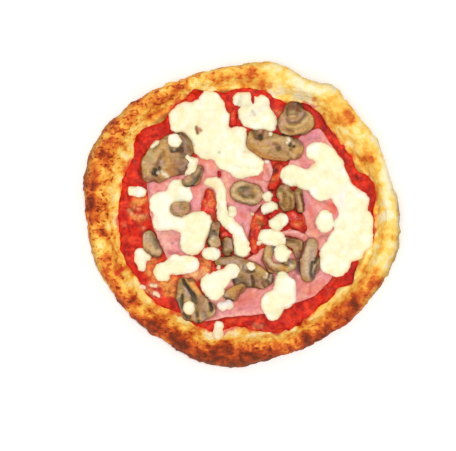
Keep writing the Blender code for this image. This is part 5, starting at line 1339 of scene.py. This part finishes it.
        "black 0.95 0.5 -0.4: 198 321 1, 199.5 325.5 1.1", "dark 0.8 0.6: 202 323 1, 207 321.5 0.9",
        "brown 0.35 1.6: 200 300 4, 204 309 4",
    )},
    {"node": "mushroom_09",
     "strokes": ["219 262 4.5, 232 260 4.5, 246 264 5, 258 270 5.5, 268 279 6", "262 281 8, 240 279 8",
                 "244 270 5.5"], "marks": (
        "tan 0.9 0.7 0.3: 222 258.3 1.1, 233 257 1.2, 245 258.7 1.2",
        "brown 0.7 0.5: 219 260 0.8, 228 256.3 0.6, 241 256.8 0.7",
        "lilac 0.85 0.8: 223 262.5 1.3, 233 261 1.4, 241 262.5 1.3",
        "russet 0.6 0.7: 243 261 1.2, 250 262 1", "dark 0.9 0.6 -1.2: 222.5 266 1.1, 226 266.5 1.2",
        "olive 0.8 0.8: 218 263 1.3, 219.5 266 1.1", "pale 0.7 0.5 0.2: 241.3 266 0.7, 241.3 270 0.7",
        "smoke 0.9 0.5 -0.7: 243.3 265.5 0.8, 243.3 271 0.8",
        "lilac 0.8 0.5 0.1: 245.5 266 0.8, 245.5 270 0.8",
        "black 0.9 0.5 -1: 246.5 271.5 1, 250 272.3 0.9, 254 271 0.8",
        "gold 0.95 0.7 0.4: 257.5 267 1.5, 262 270 1.8, 266 273 1.1",
        "green 0.6 0.6 0.2: 258 271 1.3, 262 274 1.2",
        "brown 0.8 0.5: 255 262.7 0.7, 262 265.7 0.8, 269 272 0.8",
        "ochre 0.8 0.7: 256.5 275 1.4, 261 277 1.2", "beige 0.8 0.7 0.2: 243.5 274 1.5, 248 275.5 1.3",
        "olive 0.95 0.8 -0.3: 241 277 1.8, 245 281 2",
        "smoke 0.95 0.7 -0.6: 236.5 279.5 1.6, 239.5 281.5 1.4",
        "black 1 0.5 -1.2: 233.8 280 1.2, 234.3 282.5 1.2", "moss 0.9 0.6 -0.3: 243 284 1.4, 247 283.5 1.2",
        "dark 0.85 0.5 -0.5: 247 286 0.9, 251 287 0.8", "lilac 0.9 0.5 0.3: 249.7 276 0.9, 249.7 283 0.9",
        "black 1 0.4 -1.8: 252 276 0.8, 253.3 281 0.9, 253.3 287 0.9",
        "mauve 0.9 0.7: 256.5 280 1.4, 258 284 1.5", "umber 0.8 0.6: 262 279 1.6, 265 281 1.2",
        "pink 0.7 0.5 0.2: 257 282.5 0.6, 263.5 286 0.7", "plum 0.95 0.4 -0.9: 262.5 283 0.6, 266 288 0.6",
        "dark 0.95 0.4 -0.9: 268 281 0.8, 269.3 286 0.9", "mauve 0.8 0.5: 265.7 283 0.8, 267 286.5 0.7",
        "cream 0.95 0.3 0.5: 267 274 0.9", "cream 0.85 0.3 0.4: 266.3 277.3 0.8",
        "cream 0.8 0.3 0.4: 271.5 275 0.7", "cream 0.75 0.3 0.4: 270 279.3 0.7",
        "cream 0.7 0.3 0.4: 264 277 0.6", "dark 0.9 0.45 -0.7: 269.5 273 0.7, 268.7 277.5 0.7",
        "lilac 0.7 0.5 0.1: 271 276.5 0.8, 270.8 281 0.8",
        "smoke 0.95 0.6 -0.2: 273.3 275 0.9, 274.3 281.5 1", "black 0.85 0.5: 272.5 279 0.8, 272 284 0.9",
        "red 0.95 0.5 -0.3: 256.3 287.5 1.2, 260 289.5 1", "brown 0.4 1.6: 257 280 4, 264 282 4, 243 279 4",
    )},
    {"node": "mushroom_10", "strokes": ["241 288 5, 229 295 5.6", "234.5 297 4"], "marks": (
        "gold 0.95 0.8 0.3: 231 291 2, 237 287 2", "orange 0.6 0.8: 233 294 1.6, 239 291 1.2",
        "olive 0.6 0.6: 232 285.5 1, 238 284 1", "lilac 0.95 0.7 0.2: 225.5 295.5 1.4",
        "dark 0.98 0.45 -0.4: 222 297.8 0.8, 227 298.3 0.9, 233 300.8 0.9",
        "dark 0.8 0.5: 224 291 0.7, 222 296 0.7",
        "russet 0.95 0.7: 243 288 1.4, 238.5 294.5 1.2, 235.5 299 1",
    )},
    {"node": "mushroom_11", "strokes": ["287 241 4.5, 297 245 6, 299 254 5"], "marks": (
        "umber 0.9 0.9 0.4: 287 239.5 1.8, 293 241 2", "plum 0.7 0.8: 285 242 1.3, 290 238 1",
        "pink 0.7 0.6 0.2: 293 246.5 0.9, 297 248 0.9", "brown 0.8 0.7: 298 242 1.4, 300 246 1.2",
        "olive 0.6 0.7: 296 244.5 1.2", "tan 0.8 0.7 0.2: 293.5 251 1.3, 296 253 1",
        "mauve 0.9 0.8: 297 255 1.8, 297 260 1.4", "red 0.8 0.6: 300 251 1, 299 258 1",
        "dark 0.8 0.5: 292 237 0.8, 300 238.5 0.8",
    )},
    {"node": "mushroom_12", "strokes": ["270 249 5, 266 259 4.5, 272 268 5, 284 269 6, 292 264 5"],
     "marks": (
        "light 0.9 0.8 0.3: 267.5 249 1.6, 266 255 1.8", "ochre 0.6 0.7: 269 254 1.3, 268 258 1",
        "grey 0.95 0.7: 271.5 244.5 1.6, 274.5 246 1.5", "smoke 0.8 0.5: 272.5 247.5 0.9, 273 252 0.9",
        "black 1 0.4 -1.4: 275.5 248.5 1.1", "beige 0.9 0.6: 270 259.5 1, 275 262.5 1",
        "pale 0.95 0.6 0.5: 267.5 259.5 0.8, 271.5 263.7 1, 277.5 266.5 1",
        "lilac 0.7 0.6: 276 261.5 1, 277.5 264.3 0.9", "gold 0.95 0.8 0.4: 281 268 1.6, 286.5 268 1.6",
        "orange 0.6 0.6: 284 270 1.3", "dark 0.95 0.5 -0.8: 279.5 261 0.8, 284 264 0.9, 288 265.5 0.7",
        "olive 0.7 0.6: 277 269.5 0.8, 280 272 0.7", "smoke 0.95 0.7: 289.5 261 1.3, 292.5 263.5 1.3",
        "mauve 0.7 0.6: 288.5 263.5 1", "green 0.95 0.7 0.3: 291 268.5 1.5, 294 268 1.3",
        "cream 0.7 0.5 0.3: 291.8 265.8 1.2", "umber 0.9 0.5: 276 271.5 0.7, 285 274 0.8, 292 273 0.8",
        "red 0.85 0.5: 262.5 252 0.8, 263 259.5 0.9, 268.5 267.5 1, 274 271 0.8",
    )},
    {"node": "mushroom_13",
     "strokes": ["311 245 7, 309 256 8.5, 307 268 8.5, 308 275 7", "316 260 3.5, 314 270 4.5"], "marks": (
        "lilac 0.7 2: 310 248 6, 307 272 6", "pale 0.35 2: 309 250 5, 307 268 5",
        "pale 0.9 1 0.4: 308.5 247 2, 306 257 2.4", "beige 0.7 0.9: 304 262 1.8, 305 270 2",
        "lilac 0.95 0.9 0.2: 312 250 1.6, 311 259 2", "pale 0.8 0.8 0.2: 307 264 1.6, 307.5 272 1.6",
        "grey 0.9 0.7: 310 264 1.2, 309.7 273 1.2", "green 0.7 0.7: 311 243.5 1.4, 314.5 246 1",
        "orange 0.45 0.6: 301.5 262 0.9, 301.8 271 0.9", "ochre 0.95 0.8: 304 277 1.5, 307.5 280 1.5",
        "red 0.98 0.5 -0.5: 306 241.5 1, 303.5 249 1, 300.7 257 1",
        "black 0.9 0.5 -0.4: 299 262 0.9, 299.3 272 1",
        "black 1 0.4 -1.2: 319 253.5 0.8, 316.5 258 0.9, 314.5 263 0.9",
        "moss 0.9 0.5 -0.4: 319.3 256.5 0.8, 316.5 261 0.8",
        "dark 0.98 0.4 -1.1: 312.3 262 0.7, 311.3 269 0.8, 311.3 276 0.9",
        "pale 0.8 0.4 0.2: 315.7 265.5 0.6, 313.3 272 0.6",
        "dark 0.95 0.4 -0.8: 317 265.5 0.8, 315 271 0.9, 313 277.5 1.2",
        "smoke 0.95 0.6 -0.3: 314.5 275 1.4, 312.5 280 1.3",
        "mauve 0.9 0.6 0.2: 317.5 269 1.1, 317 274 1.1", "dark 0.85 0.5 -0.3: 320 268.5 0.8, 323 272 1",
        "lilac 0.6 0.5 0.1: 320 271 0.8, 319 275 0.8", "beige 0.8 0.6: 315 248 1, 314.5 254 1.1",
    )},
    {"node": "mushroom_14", "strokes": ["216 226 4.5, 214 236 5, 214 242 7"], "marks": (
        "mauve 0.8 0.8: 216.5 223 2, 217 229 1.6", "pink 0.5 0.6: 215 227 1.1",
        "russet 0.8 0.5: 214.3 221 1, 216.5 224.5 0.7",
        "moss 0.98 0.5 -0.8: 211 227.5 0.9, 210.5 235 1, 208 240 0.9",
        "black 0.95 0.45 -0.8: 214 231.5 1.1", "smoke 0.95 0.6 -0.5: 212.3 233 0.9, 216.5 234.5 1.1",
        "lilac 0.9 0.6 0.3: 213 237 1.1, 216 238 1", "cream 0.8 0.45 0.2: 213 239 0.8",
        "pale 0.98 0.8 0.4: 211 242.5 1.8, 214 244 1.8", "green 0.9 0.6: 215 241.5 1.5",
        "beige 0.9 0.7 0.2: 219.3 242 1.5, 218.5 245.5 1.3",
        "black 0.98 0.45 -0.8: 206.8 242.5 0.9, 208.7 246 1.2", "black 0.95 0.45 -0.6: 219.8 248 1",
        "umber 0.9 0.6 -0.4: 221.5 238 1, 222.5 244 1",
    )},
    {"node": "mushroom_15", "strokes": ["227 242 5, 227.5 251 5.5"], "marks": (
        "mauve 0.7 0.8: 226.5 243 1.8, 227 247 1.8", "lilac 0.9 0.8 0.3: 230 241 1.4, 229.5 246.5 1.4",
        "dark 0.9 0.6 -0.6: 223.3 241 1, 222.7 248 1.1, 223 254 1",
        "umber 0.85 0.8 -0.3: 226 252 1.8, 230 251.5 1.4", "black 0.95 0.5 -0.6: 231.7 253 1.3",
        "moss 0.7 0.5: 224.5 256 0.8, 229 256.5 0.7", "pale 0.4 0.5 0.1: 226.5 249.5 1",
    )},
)
layAll(mushroomSlices, mushroom, mushroomMaterial)


artichoke = {
    "slot": "artichoke", "cover": 1.0, "contactShade": "#6A4422",
    "base": "#B88E58", "light": "#DCB086", "green": "#7C6A28", "brown": "#80501F", "dark": "#5C2E12",
    "tan": "#B88E5A", "straw": "#C8AC6C", "gold": "#B4863C", "pink": "#C89878",
    "thickness": 4.3, "rim": 1.4, "roundOver": 2.4, "dome": 1.0, "melt": 0.8, "melted": False,
    "spacing": 0.6, "sink": 0.1, "thinnest": 0.7, "bridge": (8, 5, 3, 2, 1),
    "grainShare": 0.25, "sway": 0.4,
    "wobble": ((4, 0.6), (1.8, 0.4)),
    "relief": ((3.0, 0.9), (1.6, 0.45)),
    "mottle": (("tan", 0.6, 2.6, 0.0, 0.6), ("brown", 0.75, 2.0, 0.1, 0.6), ("straw", 0.7, 1.8, 0.1, 0.6)),
    "edge": ("brown", 0.8, 0.9),
}
# Artichoke heart in oil: olive-tan leaves packed in fibres, with an oily sheen.
artichokeMaterial = makeWetMaterial("marinated artichoke", {
    "coarse": 2.0, "fine": 0.8, "shade": "#C9B48C", "depth": 0.7, "fleckGain": 1.15,
    "wet": 0.3, "dry": 0.55, "bump": 0.5, "glowShare": 0.05, "glow": (1.0, 0.8, 0.4), "glowReach": 0.6,
    "ior": 1.4, "gloss": 0.4,
})
heartPieces = (
    {"name": "artichoke_leaves", "node": "artichoke_heart", "grain": 82,
     "strokes": ["284 193 8, 287 203 8.5", "298 193 4.5, 301 209 4", "291 198 7"], "marks": (
        "pink 0.8 0.8 0.3: 281 187 1.8, 286 187.5 1.6", "green 0.95 0.7: 281 189.7 1.7, 282.5 191.5 1.2",
        "green 0.9 0.5 -0.4: 286.8 196 1.3", "brown 0.9 0.6 -0.4: 288.5 190.5 1.4, 291 192 1.2",
        "straw 0.7 0.7 0.3: 288 193.5 1.2, 292 196 1.3", "light 0.7 0.8 0.3: 279.5 195 1.5, 281 201 1.5",
        "brown 0.85 0.5 -1.3: 284.5 194 0.8, 283.5 199 0.7, 284.5 207 0.8",
        "gold 0.95 0.8 0.3: 287 201 1.8, 288 206 1.8", "tan 0.8 0.7: 291 202 1.4, 292 206.5 1.2",
        "brown 0.85 0.5 -1.2: 290 198 0.6, 291 203 0.6, 290.5 209 0.7",
        "dark 0.98 0.45 -1.8: 295 194 0.8, 295.8 199 1, 297.7 207 0.9",
        "light 0.98 0.6 0.5: 297.3 193 1.1, 298.7 200 1, 300.3 208 1.1",
        "green 0.85 0.6 0.3: 299.5 191 1.4, 301 194 1",
        "dark 0.98 0.45 -1.2: 301 195 0.7, 303 201 0.9, 304.5 211 0.9",
        "dark 0.7 0.6 -0.4: 279 205 0.9, 280.3 211 1.1", "brown 0.8 0.6: 286 210 1, 293 209.5 1",
    )},
)
layAll(heartPieces, artichoke, artichokeMaterial)


# these melted over the other toppings
upperPools = (
    {"node": "mozzarella_11",
     "chunks": ["283.5 280 8.5, 285 288 11, 285 297 12, 273 303 12, 273.5 312 8.5"], "marks": (
        "white 0.7 2.5: 284 290 7", "cream 0.6 2: 274 304 6", "green 0.5 1.5: 276 312 3",
        "lilac 0.7 0.8: 295 288 1, 296 298 1", "yellow 0.4 0.9: 284 307 1.6",
    )},
    {"node": "mozzarella_12", "chunks": ["211 284 11, 214 291 9.5, 222 279 9, 232 271 8"], "marks": (
        "white 0.7 2.5: 213 285 6, 230 272 4", "cream 0.6 1.5: 226 278 3, 218 296 2",
    )},
    {"node": "mozzarella_13", "chunks": ["265 237 7.5, 271 237 8, 277 236.5 7, 281 241 5"], "marks": (
        "thin 0.5 0.8: 262 244 1.2, 268 245 1",
    )},
    {"node": "mozzarella_14", "chunks": ["274 223 5.5, 281 219.5 7, 278 227 4.2"]},
    {"node": "mozzarella_15", "chunks": ["266 209 5.5, 273 206 5.5"]},
    {"node": "mozzarella_16", "chunks": ["267.8 196.5 5.8"], "marks": (
        "grey 0.3 1: 264 193 1.2, 268 198 1.2",
    )},
    {"node": "mozzarella_17", "chunks": ["282 254 9"]},
    {"node": "mozzarella_18", "chunks": ["208 254 6, 214 254 6.3"], "marks": (
        "lilac 0.6 0.9: 202.5 251 1.2, 204 248 1", "grey 0.5 0.7: 202 247 1", "green 0.5 1.2: 213 253 2",
    )},
    {"node": "mozzarella_19", "chunks": ["175 140.5 7.1"], "marks": (
        "white 0.8 1.5: 174 140 4", "grey 0.35 0.7: 177 137 1", "green 0.6 0.8: 179 143 1.6",
    )},
    {"node": "mozzarella_20", "chunks": ["189 306 5, 189 309.5 5.3"], "marks": (
        "white 0.7 1.2: 189 307 3",
    )},
    {"node": "mozzarella_21", "chunks": ["251 266 4.5"], "marks": ("yellow 0.4 0.6: 251.5 266 1.4",)},
    {"node": "mozzarella_22", "chunks": ["232 209.5 4.2, 232.5 212.5 4.2"], "marks": (
        "grey 0.3 0.6: 231 212 1",
    )},
    {"node": "mozzarella_23", "strokes": ["188 157 2.2, 194 161.5 4.4, 191 169 4.6, 186 174.5 2"],
     "marks": (
        "thin 0.6 0.7: 198 158 1.2, 197.5 165 1", "yellow 0.4 0.8: 192 172 1.4",
        "lilac 0.5 0.7: 184 174 1.2",
    )},
    {"node": "mozzarella_24", "chunks": ["222 306 5, 229 305 5"], "marks": (
        "lilac 0.95 1.2: 221 304 3, 228 303 3", "white 0.7 0.9: 224 307 2",
        "grey 0.5 0.7: 221 301.5 1, 230 300.5 1",
    )},
    {"node": "mozzarella_25", "strokes": ["152.3 146.5 2.6, 156.5 142.3 2.8"], "marks": (
        "thin 0.4 0.8: 152 143 1.4",
    )},
)
layAll(upperPools, mozzarella, mozzarellaMaterial)


# small drops and shreds that lie between the toppings
cheeseDrops = (
    {"name": "cheese_drop_centre", "chunks": ["259 243 2.8"], "marks": ("thin 0.5 0.8: 259 243 2",)},
    {"name": "cheese_drop_top", "chunks": ["270.5 134.3 2"]},
    {"name": "cheese_fleck_middle", "chunks": ["266 162 1.7, 268.5 162 1.6"], "marks": (
        "lilac 0.7 0.8: 267 162 2",
    )},
    {"name": "cheese_drop_ham", "chunks": ["252 214 2.3"], "marks": ("thin 0.9 0.8: 252 214 2",)},
    {"name": "cheese_drop_left", "chunks": ["218.5 268 2.2"], "marks": ("thin 0.7 0.8: 218 268 1.6",)},
    {"name": "cheese_drop_low", "chunks": ["151 285.5 1.8, 155.5 285.8 1.9"], "marks": (
        "thin 0.7 0.8: 153 286 2",
    )},
    {"name": "cheese_drop_lower", "chunks": ["155 293.5 1.9, 158 296 1.5"], "marks": (
        "thin 0.7 0.8: 156 294 2",
    )},
    {"name": "cheese_drop_lowest", "chunks": ["140.5 287.5 1.7, 143.5 287.8 1.4"], "marks": (
        "thin 0.8 0.8: 142 288 2",
    )},
)
layAll(cheeseDrops, mozzarella, mozzarellaMaterial)

tomatoShreds = (
    {"name": "tomato_shred_top", "strokes": ["235.5 108 1.5, 233 115 2.8, 233.5 122 3"], "marks": (
        "orange 0.5 0.8: 233 114 2", "pink 0.6 0.7: 232 119 1.3",
    )},
    {"name": "tomato_shred_artichoke", "strokes": ["273.5 199 2.2, 277 200.5 2.2"], "marks": (
        "crimson 0.8 0.8: 275 199 2", "dark 0.5 0.5: 278 202 0.9",
    )},
    {"name": "tomato_shred_ham", "strokes": ["219 172.5 1.8, 219.5 175.5 1.6"], "marks": (
        "crimson 0.8 0.8: 219 174 2",
    )},
    {"name": "tomato_shred_middle", "strokes": ["270.5 216.5 2.2, 276 211.5 2"], "marks": (
        "crimson 0.8 0.8: 272 215 2", "dark 0.5 0.5: 276 211 0.9",
    )},
)
layAll(tomatoShreds, tomatoFlesh, tomatoMaterial)

deepenContacts()
